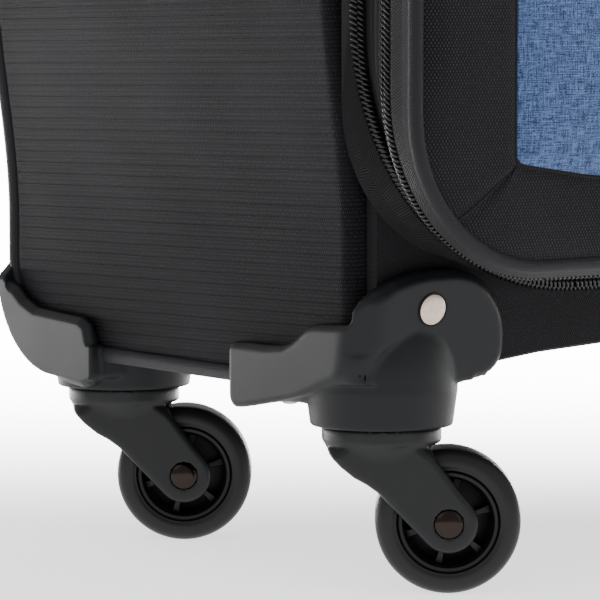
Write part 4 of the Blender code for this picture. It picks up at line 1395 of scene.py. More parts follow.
    def pocket_zip(self) -> None:
        """The pocket's zip between the two blue panels: tape and two rows of turns."""
        low, high = self.pocket_split
        middle, y = 0.5 * (low + high), self.frame.axis_y - self.crown + 1.2 * MM
        xs = np.linspace(-self.pocket_half + 4 * MM, self.pocket_half - 4 * MM, 60)
        half = 0.5 * (high - low) + 1.5 * MM
        rows = np.array([-half, -2.6 * MM, 2.6 * MM, half])
        x, z = np.meshgrid(xs, middle + rows, indexing="ij")
        outer = columns(x, y, z)
        shell(outer, outer + 0.8 * MM * Y, columns(x, z)).put("pocket_zip_tape", Finishes.TAPE, "lid",
            "zip_tape")
        pitch, patches = 1.6 * MM, []
        count = int((xs[-1] - xs[0]) / pitch)
        for sign in (-1.0, 1.0):
            places = xs[0] + pitch * (np.arange(count) + 0.25 * (1 + sign))
            origins = columns(places, y, middle - sign * 2.4 * MM)
            axes = np.array([sign * Z, -Y, sign * X])
            patches.append(scatter(tooth(2.9 * MM, 0.9 * MM, 0.72 * pitch), origins,
                np.broadcast_to(axes, (count, 3, 3))))
        joined(patches).put("pocket_zip_coil", Finishes.COIL, "lid", "zip_tape", crease=80.0)

    def lining(self) -> None:
        """The lid's inner face: cloth, with a net pocket bound along its top."""
        y = self.frame.axis_y - 48.6 * MM
        line = Line(y, 171.2 * MM, 114 * MM, 515.2 * MM, 53 * MM, 52 * MM)
        ring, _ = around(line, ROUND_TRIP)
        share = np.array([0.0, 0.05, 0.15, 0.35, 0.55, 0.75, 0.92])
        points = between(ring, np.broadcast_to([0.0, y, 0.315], ring.shape), share)
        points[:, :, 1] += ripple(points[:, :, 0], points[:, :, 2], 0.6 * MM, 60 * MM, 5) * share[None, :]
        patch = shell(points, points - 0.5 * MM * Y, points[:, :, [0, 2]], wrap=True)
        inner = points[:-1, -1]
        disc = loft(np.stack([inner, inner - 0.5 * MM * Y]))
        piece = joined([patch, disc]).put("lid_lining", Finishes.LINING, "lid", "lining_fabric")
        self.net_pocket(y)

    def net_pocket(self, y: float) -> None:
        """A net pocket on the lid's lining: it bellies out from its sewn edges; elastic binds its top."""
        half, low, high = 140 * MM, 140 * MM, 400 * MM
        v, u = spread(0, 1, 40)[:, None], spread(-1, 1, 50)[None, :]
        x, z = half * u * np.ones_like(v), low + (high - low) * v * np.ones_like(u)
        belly = 6 * MM * (1 - u ** 4) * np.sin(0.5 * math.pi * np.clip(v * 1.6, 0, 1)) * (0.55 + 0.45 * v)
        yy = y + 0.9 * MM + belly + ripple(x, z, 0.5 * MM, 40 * MM, 12) * (1 - u ** 4)
        outer = columns(x, yy, z)
        piece = shell(outer, outer - 0.35 * MM * Y, columns(x, z)).put("lid_net_pocket", Finishes.NET, "lid",
            "lining_fabric")
        sweep(outer[-1], np.array([(-1.6, -5.0), (1.6, -5.0), (1.6, 5.0), (-1.6, 5.0)]) * MM,
            Z).put("lid_net_binding", Finishes.WEBBING, "lid", "lining_fabric")

    def build(self) -> None:
        """Makes the lid's pieces."""
        self.piping_cord()
        self.front()
        self.pocket("lower_pocket_fabric", "lower_pocket", self.pocket_low[0], self.pocket_split[0], True, 21)
        self.pocket("upper_pocket_fabric", "upper_pocket", self.pocket_split[1], self.pocket_high, False, 22)
        self.pocket_zip()
        self.lining()


def stitch(length: float) -> Patch:
    """One stitch of thread: a short round bead, thicker in its middle, along x and standing up in y."""
    share = np.array([-0.5, -0.3, 0.0, 0.3, 0.5])
    thick = np.array([0.12, 0.26, 0.32, 0.26, 0.12]) * MM
    angles = np.linspace(0, TAU, 5, endpoint=False)
    rings = columns(length * share[:, None], thick[:, None] * np.sin(angles), thick[:, None] * np.cos(angles))
    return loft(rings).bare()


# ---- corner brackets

@dataclass
class CornerBracket:
    """One moulded corner: base, wall with a round lobe, side wing, conical swivel housing and rivet."""
    frame: Frame
    side: Side
    end: End
    wall: float = 3.7 * MM
    base: float = 62 * MM
    side_face: float = 170.8 * MM
    housing: tuple[float, float] = (24.5 * MM, 26.2 * MM)
    housing_low: float = 57.5 * MM
    lobe_top: float = 112 * MM
    lean: float = 0.17
    bevel: float = 4.8 * MM
    bevel_drop: float = 2.6 * MM
    corner: float = 13 * MM
    curl: float = 4 * MM
    step: float = 0.8 * MM

    def axis_y(self) -> float:
        """Where its caster's swivel axis stands."""
        return self.frame.axis_y + (self.frame.wheelbase if self.end is End.REAR else 0.0)

    def lobe(self) -> Outline:
        """The front wall's outline: outboard distance from the swivel axis, and height."""
        outer, top = self.side_face + self.wall - self.frame.axis_x, self.lobe_top
        low = self.housing_low + MM
        return ([(outer + 0.001, low), (outer + 0.001, 0.094), (0.0265, 0.0985), (0.0235, 0.1022),
            (0.019, 0.1056), (0.013, 0.1088), (0.006, 0.1108), (-0.001, 0.1118)]
            + arc((-0.01, top - 0.0275), 0.0275, 84, 180, 12) + arc((-0.0265, 0.0835), 0.011, 180, 270, 8)
            + [(-0.0235, low)])

    def wing(self) -> Outline:
        """The side wing's outline: distance behind the front axes, and height."""
        if self.end is End.FRONT:
            return ([(-0.03, 0.06)] + arc((0.049, 0.065), 0.005, 270, 360, 5)
                + arc((0.05, 0.0797), 0.004, 0, 90, 4) + [(0.03, 0.0838), (0.0205, 0.0847), (0.015, 0.0868),
                (0.01, 0.09), (0.0065, 0.0922), (0.0025, 0.0932), (-0.004, 0.0936), (-0.014, 0.0941),
                (-0.03, 0.0947)])
        turn = 0.039
        back = self.frame.back - self.frame.axis_y + 4 * MM
        return ([(0.144, 0.06), (0.148, 0.0587), (0.158, 0.0595)] + arc((back - turn, self.base + turn), turn,
            282, 352, 10) + [(0.202, 0.095), (0.195, 0.093), (0.189, 0.089), (0.181, 0.0862), (0.15, 0.0847),
            (0.145, 0.0825), (0.1422, 0.074), (0.141, 0.064)])

    def shell(self, out: Array, y: Array, z: Array) -> Array:
        """Signed distance to the wall, the wing and the base without the housing.

        The wall is the lobe's outline carried between the case and a leaning face that falls away along its
        edge; the wing is its own outline carried sideways. In front, the corner between them is rounded in
        plan, and their underside rises towards the front so that the housing stands clear below it.
        """
        f = self.frame
        rim = outline_distance(out, z, self.lobe())
        fall = self.bevel_drop * (1 - smooth(-rim / self.bevel)) ** 1.5
        outer = self.side_face + self.wall - f.axis_x + 0.4 * MM
        wing_rim = outline_distance(y - f.axis_y, z, self.wing())
        wing_fall = 1.6 * MM * (1 - smooth(-wing_rim / (3.4 * MM))) ** 1.5
        wing = common(wing_rim, slab(out, self.side_face - f.axis_x - MM, outer - wing_fall), 1.2 * MM)
        if self.end is End.REAR:
            centre_y, centre_z = f.back - 35 * MM, self.base + 39 * MM
            profile = np.hypot(np.maximum(y - centre_y, 0), np.maximum(centre_z - z, 0)) - 39 * MM
            plate = common(common(rim, profile + fall * (1 - smooth((out - 0.008) / 0.01)), 1.6 * MM),
                f.axis_y + 0.1415 - y, 2 * MM)
            plate = np.maximum(plate, 0.74 * (z - 0.0965 - 0.9 * (0.0275 - out)))
            base = common(common(slab(z, self.base + 0.5 * MM, self.base + 12.4 * MM),
                slab(out, -20 * MM, outer - 4 * MM), 2 * MM), slab(y, f.axis_y + 0.14, f.axis_y + 0.185), 2
                * MM)
            whole = merge(merge(np.maximum(plate, -self.rear_corner(y, z)), wing, MM), base, MM)
            return np.maximum(whole, out - outer)
        face = f.front - 4.4 * MM - self.lean * (z - 0.088)
        plate = common(rim, slab(y, face + fall, f.front + MM), 1.6 * MM)
        wall = merge(plate, wing, 3 * MM)
        turn = self.corner
        plan = np.hypot(np.maximum(out - outer + turn, 0), np.maximum(face + turn - y, 0)) - turn
        wall = common(wall, plan, MM)
        under = 0.868 * (81.2 * MM - 0.422 * out - 0.387 * (y - f.axis_y) - z)
        rear = 0.983 * (61 * MM - 0.183 * (y - f.axis_y - 45 * MM) - z)
        wall = common(common(wall, np.minimum(under, out - 4 * MM), self.curl), rear, 1.6 * MM)
        cover = common(slab(out, -20 * MM, self.side_face - f.axis_x + MM), slab(y, f.front - MM, f.axis_y
            + 0.045), 7 * MM)
        cover = common(cover, slab(z, 73.6 * MM, 82 * MM), 0.6 * MM)
        base = common(common(slab(z, self.base + 3 * MM, self.base + 12.4 * MM),
            slab(out, -24 * MM, outer - 3 * MM), 2 * MM), slab(y, f.axis_y - 2 * MM, f.axis_y + 0.05), 2 * MM)
        return merge(merge(wall, cover, 3 * MM), base, 1.5 * MM)

    def rear_corner(self, y: Array, z: Array) -> Array:
        """Signed distance to the case where its back turns into its bottom, a hair larger."""
        f, turn = self.frame, 32 * MM
        return np.hypot(np.maximum(y - f.back + turn, 0), np.maximum(f.bottom + turn - z, 0)) - 32.3 * MM

    def distance(self, out: Array, y: Array, z: Array) -> Array:
        """Signed distance to the moulding: shell and housing, less the case's box and the stem's bore."""
        f = self.frame
        low_radius, radius = self.housing
        girth = (low_radius + (radius - low_radius) * np.clip((z - 0.0575) / 0.0125, 0, 1) - 2.6 * MM
            * np.clip((z - 0.075) / 0.016, 0, 1) ** 2)
        top = 0.0945 if self.end is End.FRONT else 0.078
        stem = np.hypot(out, y - self.axis_y())
        barrel = common(stem - girth, slab(z, self.housing_low, top), MM)
        shape = merge(self.shell(out, y, z), barrel, 0.9 * MM)
        if self.end is End.FRONT:
            case = np.maximum(f.front - 0.3 * MM - y, f.bottom - 0.3 * MM - z)
        else:
            case = self.rear_corner(y, z)
        inside = common(case, out - (self.side_face - f.axis_x), 6 * MM)
        bore = np.maximum(stem - 5 * MM, z - 0.069)
        return np.maximum(np.maximum(shape, -inside), -bore)

    def rivet_place(self) -> tuple[Array, Array]:
        """The rivet's centre and its outward direction, in outboard, y and z."""
        f = self.frame
        if self.end is End.FRONT:
            out, z = -0.003, 0.0985
            y = f.front - 4.4 * MM - self.lean * (z - 0.088)
            return np.array([out, y, z]), unit(np.array([0.0, -1.0, -self.lean]))
        return np.array([-0.003, f.back + 4 * MM, 0.1015]), Y

    def build(self) -> None:
        """Makes the moulding, its rivet with a dark seat, and the screw under the wing."""
        f, name = self.frame, f"{self.end.value}_{self.side.word}"
        outer = self.side_face + self.wall - f.axis_x + MM
        if self.end is End.FRONT:
            low, high = (-0.037, f.front - 10 * MM, 0.056), (outer, f.axis_y + 0.056, 0.114)
        else:
            low, high = (-0.037, f.axis_y + 0.132, 0.056), (outer, f.back + 6 * MM, 0.116)
        patch = skin(self.distance, low, high, self.step)
        self.place(patch).put(f"{name}_bracket_moulding", Finishes.BRACKET, "case", "bracket_plastic",
            [f"{name}_bracket"], crease=55.0)
        centre, facing = self.rivet_place()
        side = unit(np.cross(facing, [0.0, 0.0, 1.0]))
        axes = np.stack([side, np.cross(facing, side), facing])
        head = lathe(mm((0, 0.75), (1.8, 0.72), (3.6, 0.6), (4.7, 0.36), (5.25, 0), (5.3, -1.2), (0, -1.2)),
            48)
        self.place(head.placed(centre, axes)).put(f"{name}_rivet", Finishes.RIVET, "case", "axle_chrome")
        seat = lathe(mm((5.35, -0.6), (5.35, 0.12), (5.95, 0.12), (6, -0.6)), 48, closed=True)
        self.place(seat.placed(centre, axes)).put(f"{name}_rivet_seat", Finishes.SEAM, "case",
            "bracket_plastic")
        self.screw(name)

    def screw(self, name: str) -> None:
        """A cross-head screw's round head under the base."""
        y = self.frame.axis_y + (0.026 if self.end is End.FRONT else 0.15)
        head = lathe(mm((0, -0.2), (0.9, -0.2), (1, -1.2), (2.2, -1), (3.1, -0.3), (3.2, 0.6), (0, 0.6)), 32)
        self.place(head.placed((0.02, y, self.base + 2.6 * MM))).put(f"{name}_bracket_screw", Finishes.SCREW,
            "case", "axle_chrome")

    def place(self, patch: Patch) -> Patch:
        """Carries a patch from outboard distances to the case's right side, or mirrors it to the left."""
        moved = patch.placed(self.frame.axis_x * X)
        return moved if self.side is Side.RIGHT else moved.mirrored()


# ---- casters

@dataclass
class Caster:
    """A swivel caster: fork, tyre, spoked hub and axle with domed heads, trailing the same way."""
    frame: Frame
    side: Side
    end: End
    trail: float = 22.7 * MM
    heading: float = -35.5
    wheel: float = 25 * MM
    half_width: float = 11.5 * MM
    fork_half: float = 16.6 * MM
    arm: float = 3.8 * MM
    crown: float = 20.3 * MM
    crown_top: float = 57.1 * MM
    step: float = 0.75 * MM
    spokes: int = 6

    def fork_outline(self) -> Outline:
        """The fork seen from the wheel's side: distance along the trail, and height above the floor."""
        tail = [(-0.0203, 0.056), (-0.0199, 0.0529), (-0.0181, 0.0485), (-0.0142, 0.0443), (-0.0096, 0.0406),
            (-0.0052, 0.0382), (-0.0012, 0.0353), (0.006, 0.0276)]
        ear = arc((self.trail, self.wheel), 10.2 * MM, 222, 380, 14)
        nose = [(0.0296, 0.0325), (0.0258, 0.0369), (0.0225, 0.0413), (0.0203, 0.0441), (0.0186, 0.0466),
            (0.018, 0.0486), (0.0184, 0.05), (0.0203, 0.0512), (0.0203, 0.056)]
        return tail + ear + nose

    def distance(self, u: Array, v: Array, z: Array) -> Array:
        """Signed distance to the fork, with the trail as u and the axle as v.

        The outline is carried between the arms' outer faces with rounded edges, narrowed to the round crown
        at its top; the crown's disc and the stem are merged on, and the wheel's slot and bore are taken out.
        """
        profile = outline_distance(u, z, self.fork_outline())
        arms = common(profile, slab(v, -self.fork_half, self.fork_half), 2.4 * MM)
        flare = self.crown + 0.9 * np.maximum(0.051 - z, 0)
        arms = common(arms, np.hypot(u, v) - flare, 1.5 * MM)
        cone = self.crown - 0.9 * np.maximum(0.0525 - z, 0)
        disc = common(np.hypot(u, v) - cone, slab(z, 0.044, self.crown_top), 0.7 * MM)
        body = merge(arms, disc, 2 * MM)
        body = merge(body, np.maximum(np.hypot(u, v) - 4.6 * MM, slab(z, 0.056, 0.068)), 0.6 * MM)
        inside = self.fork_half - self.arm
        slot = common(slab(v, -inside, inside), np.hypot(u - self.trail, z - self.wheel) - self.wheel - 1.8
            * MM, 1.5 * MM)
        body = common(body, -slot, 0.6 * MM)
        bore = np.hypot(u - self.trail, z - self.wheel) - 5.15 * MM
        pocket = np.maximum(bore, self.fork_half - 1.1 * MM - np.abs(v))
        hole = np.hypot(u - self.trail, z - self.wheel) - 3.3 * MM
        return np.maximum(np.maximum(body, -pocket), -hole)

    def axes(self) -> Array:
        """Rows that carry trail, axle and height into the case's frame."""
        a = math.radians(self.heading)
        return np.array([[math.cos(a), math.sin(a), 0.0], [-math.sin(a), math.cos(a), 0.0], [0.0, 0.0, 1.0]])

    def pivot(self) -> Array:
        """The foot of the swivel axis."""
        y = self.frame.axis_y + (self.frame.wheelbase if self.end is End.REAR else 0.0)
        return np.array([self.side.value * self.frame.axis_x, y, 0.0])

    def wheel_axes(self) -> tuple[Array, Array]:
        """The wheel's centre, and rows that carry a turned part's z axis on to the axle."""
        a = self.axes()
        return self.pivot() + self.trail * a[0] + self.wheel * Z, np.array([a[0], a[2], a[1]])

    def tyre(self) -> Patch:
        """The tyre's section: a rounded tread, soft shoulders, flat sides with a fine groove."""
        r, h = self.wheel, self.half_width
        half = (mm((17.6, h / MM - 0.9), (17.9, h / MM - 0.35), (18.6, h / MM - 0.3), (18.9, h / MM - 0.05),
            (19.8, h / MM)) + arc((r - 4.6 * MM, h - 4.6 * MM), 4.6 * MM, 88, 12, 8)
            + [(r - 0.02 * MM, 3 * MM)])
        return lathe(two_sided(half) + mm((17.3, -8), (17.3, 8)), 112, closed=True)

    def hub(self) -> Patch:
        """The hub: a rim and a bearing boss turned, joined by a web and raised spokes."""
        h = self.half_width / MM
        rim = lathe(two_sided(mm((17.55, h - 1.1), (16.9, h - 0.25), (15.9, h - 0.35), (15.3, h - 1.2),
            (14.9, 5.2), (14.2, 3.6))), 96, closed=True)
        boss = lathe(two_sided(mm((3.25, -11.2), (5.4, -11.2), (6, -10.6), (6.8, -3), (14.4, -1.1))), 64,
            closed=True)
        share = np.linspace(0, 1, 7)
        radius = 5.9 * MM + share * 8.9 * MM
        half = 1.1 * MM + 0.5 * MM * (2 * share - 1.0) ** 2
        tall = 9.6 * MM - 2.2 * MM * share
        box = np.array([(-1, -1), (-0.75, -1.06), (0.75, -1.06), (1, -1), (1, 1), (0.75, 1.06), (-0.75, 1.06),
            (-1, 1)])
        spoke = loft(columns(radius[:, None], half[:, None] * box[:, 0], tall[:, None] * box[:, 1])).bare()
        angles = np.arange(self.spokes) * TAU / self.spokes + 0.3
        turn = np.stack([columns(np.cos(angles), np.sin(angles), 0.0), columns(-np.sin(angles),
            np.cos(angles), 0.0), np.tile(Z, (self.spokes, 1))], axis=1)
        spokes = scatter(spoke, np.zeros((self.spokes, 3)), turn)
        return joined([rim.bare(), boss.bare(), spokes])

    def axle(self) -> Patch:
        """The pin with a domed head at each end."""
        seat = self.fork_half - 0.9 * MM
        dome = [(5 * MM * math.sin(t), seat + 0.7 * MM + 1.5 * MM * math.cos(t)) for t
            in np.linspace(0, 0.5 * math.pi, 9)]
        half = dome + [(5 * MM, seat), (2.9 * MM, seat - 0.1 * MM)]
        return lathe(two_sided(half), 48)

    def build(self, shared: dict[str, Patch]) -> None:
        """Makes the caster's four pieces from shapes that all casters share."""
        name, pivot, axes = f"{self.end.value}_{self.side.word}", self.pivot(), self.axes()
        if not shared:
            reach = self.crown + 1.2 * MM
            shared["fork"] = skin(self.distance, (-reach, -reach, 0.013), (0.0345, reach, 0.069), self.step)
            shared["tyre"], shared["hub"], shared["axle"] = self.tyre(), self.hub(), self.axle()
        centre, turn = self.wheel_axes()
        fork, wheel = f"{name}_fork", f"{name}_wheel"
        shared["fork"].placed(pivot, axes).put(f"{fork}_moulding", Finishes.FORK, fork, "fork_plastic",
            [fork], crease=50.0)
        for part, piece, finish, body, slot in (("axle", "axle_pin", Finishes.CHROME, fork, "axle_chrome"),
            ("tyre", "tyre_ring", Finishes.TYRE, wheel, "tyre_rubber"), ("hub", "hub_wheel", Finishes.HUB,
            wheel, "hub_plastic")):
            patch = shared[part].placed(centre, turn)
            patch = patch.flipped() if part == "hub" else patch.turned_out()
            patch.put(f"{name}_{piece}", finish, body, slot, [f"{name}_{part}"])


# ---- handles, sliders and tubes

@dataclass
class CarryHandle:
    """A padded carry handle with stitched edges, sewn in under two anchor caps."""
    node: str
    body: str
    length_axis: int
    up: Array
    width: float = 26 * MM
    rise: float = 8 * MM

    def build(self) -> None:
        """A soft oval section carried along the strap's rise: level ends and a raised middle."""
        low, high = (np.array(v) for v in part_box(self.node))
        centre = 0.5 * (low + high)
        reach = 0.5 * (high - low)[self.length_axis]
        base = np.where(self.up > 0, low, high)
        t = np.linspace(-1, 1, 61)
        lift = self.rise * smooth((1 - np.abs(t)) * reach / 0.05)
        fat = smooth((1 - np.abs(t)) * reach / 0.05)
        path = np.tile(centre, (len(t), 1))
        path[:, self.length_axis] += t * reach
        up_axis = int(np.flatnonzero(self.up)[0])
        path[:, up_axis] = base[up_axis]
        thick = 2.3 * MM + 1.3 * MM * fat
        path = path + self.up * (lift + thick)[:, None]
        side = unit(np.cross(unit(np.gradient(path, axis=0)), self.up))
        top = np.cross(side, unit(np.gradient(path, axis=0)))
        widths = 0.5 * self.width * (1 - 0.1 * fat)
        piece = carried(path, oval(32, 0.55, 0.75), widths, thick, side, top).put(f"{self.node}_strap",
            Finishes.WEBBING, self.body, "handle_fabric", [self.node])
        self.stitches(path, side, top, widths, thick)

    def stitches(self, path: Array, side: Array, top: Array, widths: Array, thick: Array) -> None:
        """A row of stitches along each edge of the strap's upper face."""
        rows = []
        for sign in (-1.0, 1.0):
            line = path + sign * 0.8 * widths[:, None] * side + 0.62 * thick[:, None] * top
            places, index = along(line, 3.6 * MM)
            axes = [sample(a, index) for a in (unit(np.gradient(line, axis=0)), top, side)]
            rows.append(scatter(stitch(2.4 * MM), places, np.stack(axes, axis=1)))
        joined(rows).put(f"{self.node}_stitches", Finishes.THREAD, self.body, "handle_fabric", crease=80.0)


@dataclass
class ZipSlider:
    """A zip slider: a waisted body with a bridge, a wire link and a moulded tab on a swinging body."""
    node: str
    out: Array
    run: Array
    hang: Array
    lift: float = 0.0

    def build(self) -> None:
        """Shapes the slider in the CAD's place and its pull on its own body."""
        low, high = (np.array(v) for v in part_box(self.node))
        centre = 0.5 * (low + high)
        span = float(abs((high - low) @ self.run))
        across = np.cross(self.out, self.run)
        base = centre - self.out * 0.5 * abs((high - low) @ self.out) + self.out * self.lift
        t = np.linspace(-1, 1, 13)
        wide = (3.3 + 0.8 * t - 0.6 * np.cos(t * math.pi) * (t < 0.0)) * MM
        tall = (1.45 * (1 - 0.35 * np.abs(t) ** 6)) * MM
        path = base + self.run * (0.5 * span * t)[:, None] + self.out * 1.5 * MM
        body = carried(path, oval(20, 0.4, 0.5), wide, tall, across, self.out)
        u = np.linspace(0, math.pi, 15)
        bridge = (base + self.out * 2.6 * MM + self.run[None] * (4.6 * MM * np.cos(u))[:, None]
            + self.out[None] * (2.3 * MM * np.sin(u) ** 0.6)[:, None])
        joined([body, sweep(bridge, circle(0.9 * MM, 10), across)]).put(f"{self.node}_body", Finishes.SLIDER,
            self.node, "slider_metal", [self.node])
        self.pull(across)

    def pull(self, across: Array) -> None:
        """The pull: a wire link through the bridge, and a tab that swells towards its end."""
        low, high = (np.array(v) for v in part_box(self.node + "_pull"))
        centre = 0.5 * (low + high)
        reach = 0.5 * abs((high - low) @ self.hang)
        hinge = centre - self.hang * (reach - 2.5 * MM) + self.out * self.lift
        u = np.linspace(0, TAU, 29)[:-1]
        wire = (hinge + self.hang[None] * (4.6 * MM - 5.6 * MM * np.cos(u))[:, None] + across[None]
            * (2.6 * MM * np.sign(np.sin(u)) * np.abs(np.sin(u)) ** 0.6)[:, None])
        link = sweep(wire, circle(0.75 * MM, 10), self.out, closed=True)
        t = np.linspace(0, 1, 19)
        wide = (2.1 + 0.8 * smooth(t * 1.5)) * MM * np.sqrt(np.clip(1 - (2 * t - 1) ** 10, 0.02, 1))
        tall = MM * np.sqrt(np.clip(1 - (2 * t - 1) ** 8, 0.05, 1))
        path = hinge + self.hang * (7.6 * MM + (2 * reach - 10.1 * MM) * t)[:, None]
        tab = carried(path, oval(20, 0.6, 0.6), wide, tall, across, self.out)
        link.put(f"{self.node}_pull_link", Finishes.SLIDER, self.node + "_pull", "slider_metal",
            [self.node + "_pull"])
        tab.put(f"{self.node}_pull_tab", Finishes.GRIP, self.node + "_pull", "grip_plastic")


def dress_hard_parts(nodes: dict[str, bpy.types.Object]) -> None:
    """Gives the CAD nodes that keep their own shape their finishes.

    Args:
        nodes: the frame's CAD objects by name.
    """
    finishes = {"tube": Finishes.ALUMINIUM, "trolley_cup": Finishes.BRACKET, "anchor": Finishes.BRACKET,
        "side_foot": Finishes.BRACKET, "base_board": Finishes.BOARD, "wire": Finishes.WIRE, "grip":
        Finishes.GRIP, "release_button": Finishes.BUTTON}
    for name, node in nodes.items():
        for part, finish in finishes.items():
            if part in name:
                node.data.materials.clear()
                node.data.materials.append(finish.material())
                LOG.info("%s dressed", name)
                break


# ---- inside

@dataclass
class Interior:
    """What shows when the lid is open: lining, packing straps and their buckle."""
    frame: Frame

    def lining_sheet(self, name: str, points: Array, normal: Array, nodes: Iterable[str]) -> None:
        """A sheet of lining on a wall.

        Args:
            name: the piece's name.
            points: its grid of points.
            normal: towards the inside.
            nodes: CAD nodes that it stands for.
        """
        run, across = lengths(points[:, 0]), lengths(points[0])
        piece = shell(points, points - normal * 0.5 * MM, lattice(run, across)).put(name, Finishes.LINING,
            "case", "lining_fabric", nodes)

    def build(self) -> None:
        """Lines the sides, back and roof of the compartment, and adds the straps."""
        f = self.frame
        back_y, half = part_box("back_lining")[0].y, f.inner - 1.4 * MM
        front_y, floor, roof = f.front + 7 * MM, 0.0885, f.top - 8.4 * MM
        grid = lattice(np.linspace(0, 1, 40), np.linspace(0, 1, 40)).transpose(2, 0, 1)
        edge = np.clip(np.minimum.reduce([grid[0], 1 - grid[0], grid[1], 1 - grid[1]]) * 8.0, 0, 1)
        span = (back_y - front_y, roof - floor)
        for side in Side:
            y, z = front_y + span[0] * grid[0], floor + span[1] * grid[1]
            x = side.value * (half - np.abs(ripple(y, z, 1.2 * MM, 90 * MM, 31)) * edge)
            self.lining_sheet(f"{side.word}_lining", columns(x, y, z), -side.value * X, [])
        x, z = -half + 2 * half * grid[0], floor + span[1] * grid[1]
        y = back_y - 0.2 * MM - np.abs(ripple(x, z, 1.2 * MM, 90 * MM, 33)) * edge
        self.lining_sheet("back_lining_cloth", columns(x, y, z), -Y, ["back_lining"])
        x, y = -half + 2 * half * grid[0], front_y + span[0] * grid[1]
        z = roof - np.abs(ripple(x, y, MM, 90 * MM, 35)) * edge
        self.lining_sheet("roof_lining", columns(x, y, z), -Z, [])
        self.straps(back_y)

    def straps(self, back_y: float) -> None:
        """Two packing straps from the side seams, lying slack on the back lining, joined by a buckle."""
        z, half_width, thick = 0.3, 12.5 * MM, 0.6 * MM
        tape = np.array([(-thick, -half_width), (thick, -half_width), (thick, half_width),
            (-thick, half_width)])
        for side in Side:
            t = np.linspace(0, 1, 40)
            x = side.value * (0.155 - 0.131 * t)
            y = back_y - 4.2 * MM - 4 * MM * np.sin(math.pi * t) ** 2
            path = columns(x, y, z + 3 * MM * np.sin(TAU * t))
            piece = sweep(path, tape, Z).put(f"{side.word}_packing_strap", Finishes.WEBBING, "case",
                "handle_fabric")
        self.buckle(np.array([0.0, back_y - 5 * MM, z]))

    def buckle(self, centre: Array) -> None:
        """A side-release buckle: a rounded body with two side openings that show its prongs."""

        def distance(x: Array, y: Array, z: Array) -> Array:
            """A rounded body, waisted at its sides, less the two windows and the strap slots."""
            x, y, z = x - centre[0], y - centre[1], z - centre[2]
            waist = 16 * MM - 2.5 * MM * np.exp(-(x / (8 * MM)) ** 2)
            body = common(common(np.abs(x) - 27 * MM, np.abs(z) - waist, 5 * MM), np.abs(y) - 3.4 * MM, 2.5
                * MM)
            slot = np.maximum(np.abs(np.abs(x) - 21.5 * MM) - 1.8 * MM, np.abs(z) - 13 * MM)
            window = np.maximum(np.abs(x - 2 * MM) - 7 * MM, np.abs(np.abs(z) - 15 * MM) - 3 * MM)
            return np.maximum(np.maximum(body, -slot), -window)

        low, high = centre - np.array([28.0, 4.5, 17.5]) * MM, centre + np.array([28.0, 4.5, 17.5]) * MM
        skin(distance, low, high, 0.9 * MM).put("packing_buckle", Finishes.BRACKET, "case", "bracket_plastic",
            crease=50.0)


# ---- studio

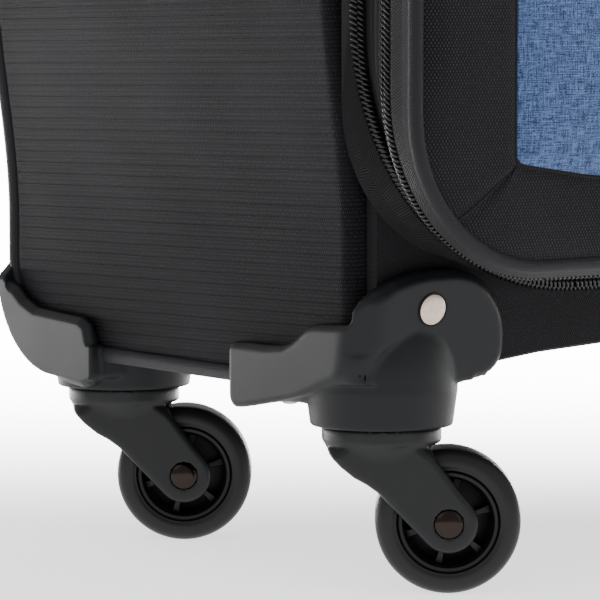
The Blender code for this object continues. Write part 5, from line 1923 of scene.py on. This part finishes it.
@dataclass
class Studio:
    """Pale floor, white surroundings, soft lights and the camera."""
    camera_at: tuple[float, float, float] = (-1.0208, -1.2492, 0.2253)
    camera_down: float = 4.87
    camera_turn: float = -35.43
    lens: float = 258.2
    floor_size: float = 60.0
    surroundings: float = 0.7

    def build(self) -> None:
        """Sets up everything around the suitcase."""
        world = bpy.data.worlds.new("studio")
        bpy.context.scene.world = world
        world.use_nodes = True
        background = world.node_tree.nodes["Background"]
        background.inputs["Color"].default_value = (1.0, 1.0, 1.0, 1.0)
        background.inputs["Strength"].default_value = self.surroundings
        self.floor()
        self.light("key", (-1.9, -0.5, 1.2), 1.2, 3.5)
        self.light("front", (0.6, -2.4, 1.1), 1.8, 4.0)
        self.light("top", (-0.2, 0.2, 2.4), 1.8, 6.0)
        self.camera()

    def floor(self) -> None:
        """A wide flat square."""
        corners = 0.5 * self.floor_size * np.array([(-1, -1, 0), (1, -1, 0), (1, 1, 0), (-1, 1, 0)])
        mesh = bpy.data.meshes.new("floor")
        mesh.from_pydata(corners.tolist(), [], [(0, 1, 2, 3)])
        mesh.materials.append(Finishes.FLOOR.material())
        added("floor", mesh)

    def light(self, name: str, at: tuple[float, float, float], size: float, power: float) -> None:
        """A square soft light that faces the case's lower middle.

        Args:
            name: the light's name.
            at: its place.
            size: its edge.
            power: in watts.
        """
        data = bpy.data.lights.new(name, "AREA")
        data.shape, data.size, data.energy = "SQUARE", size, power
        lamp = added(name, data)
        lamp.location = at
        aim = np.array([0.0, 0.0, 0.2]) - np.array(at)
        turn = math.atan2(aim[1], aim[0]) - 0.5 * math.pi
        tilt = math.atan2(math.hypot(aim[0], aim[1]), -aim[2])
        lamp.rotation_euler = Euler((tilt, 0.0, turn))

    def camera(self) -> None:
        """The camera, a long lens low at the front left."""
        data = bpy.data.cameras.new("camera")
        data.lens, data.sensor_width = self.lens, 36.0
        data.clip_start, data.clip_end = 0.05, 100.0
        camera = added("camera", data)
        camera.location = self.camera_at
        camera.rotation_euler = Euler((math.radians(90.0 - self.camera_down), 0.0,
            math.radians(self.camera_turn)))
        bpy.context.scene.camera = camera


def main() -> None:
    """Builds the suitcase around its frame, piece by piece."""
    logging.basicConfig(level=logging.INFO, format="%(message)s")
    for leftover in list(bpy.data.objects):
        bpy.data.objects.remove(leftover)
    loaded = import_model()
    frame = Frame.read(loaded["joints"])
    Studio().build()
    dress_hard_parts(loaded["nodes"])
    opening = Opening(frame)
    CaseShell(frame).build(opening)
    ZipRing(opening).build()
    Lid(frame, opening).build()
    casters: dict[str, Patch] = {}
    for end in End:
        for side in Side:
            CornerBracket(frame, side, end).build()
            Caster(frame, side, end).build(casters)
    up, left, front = Z, -X, -Y
    CarryHandle("top_handle", "top_handle", 0, up).build()
    CarryHandle("side_handle", "side_handle", 2, left).build()
    for node in ("main_slider_lower", "main_slider_upper", "expander_slider"):
        ZipSlider(node, left, up, -up, 2.2 * MM).build()
    ZipSlider("pocket_slider", front, X, -up, 0.0).build()
    Interior(frame).build()


if __name__ == "__main__":
    main()
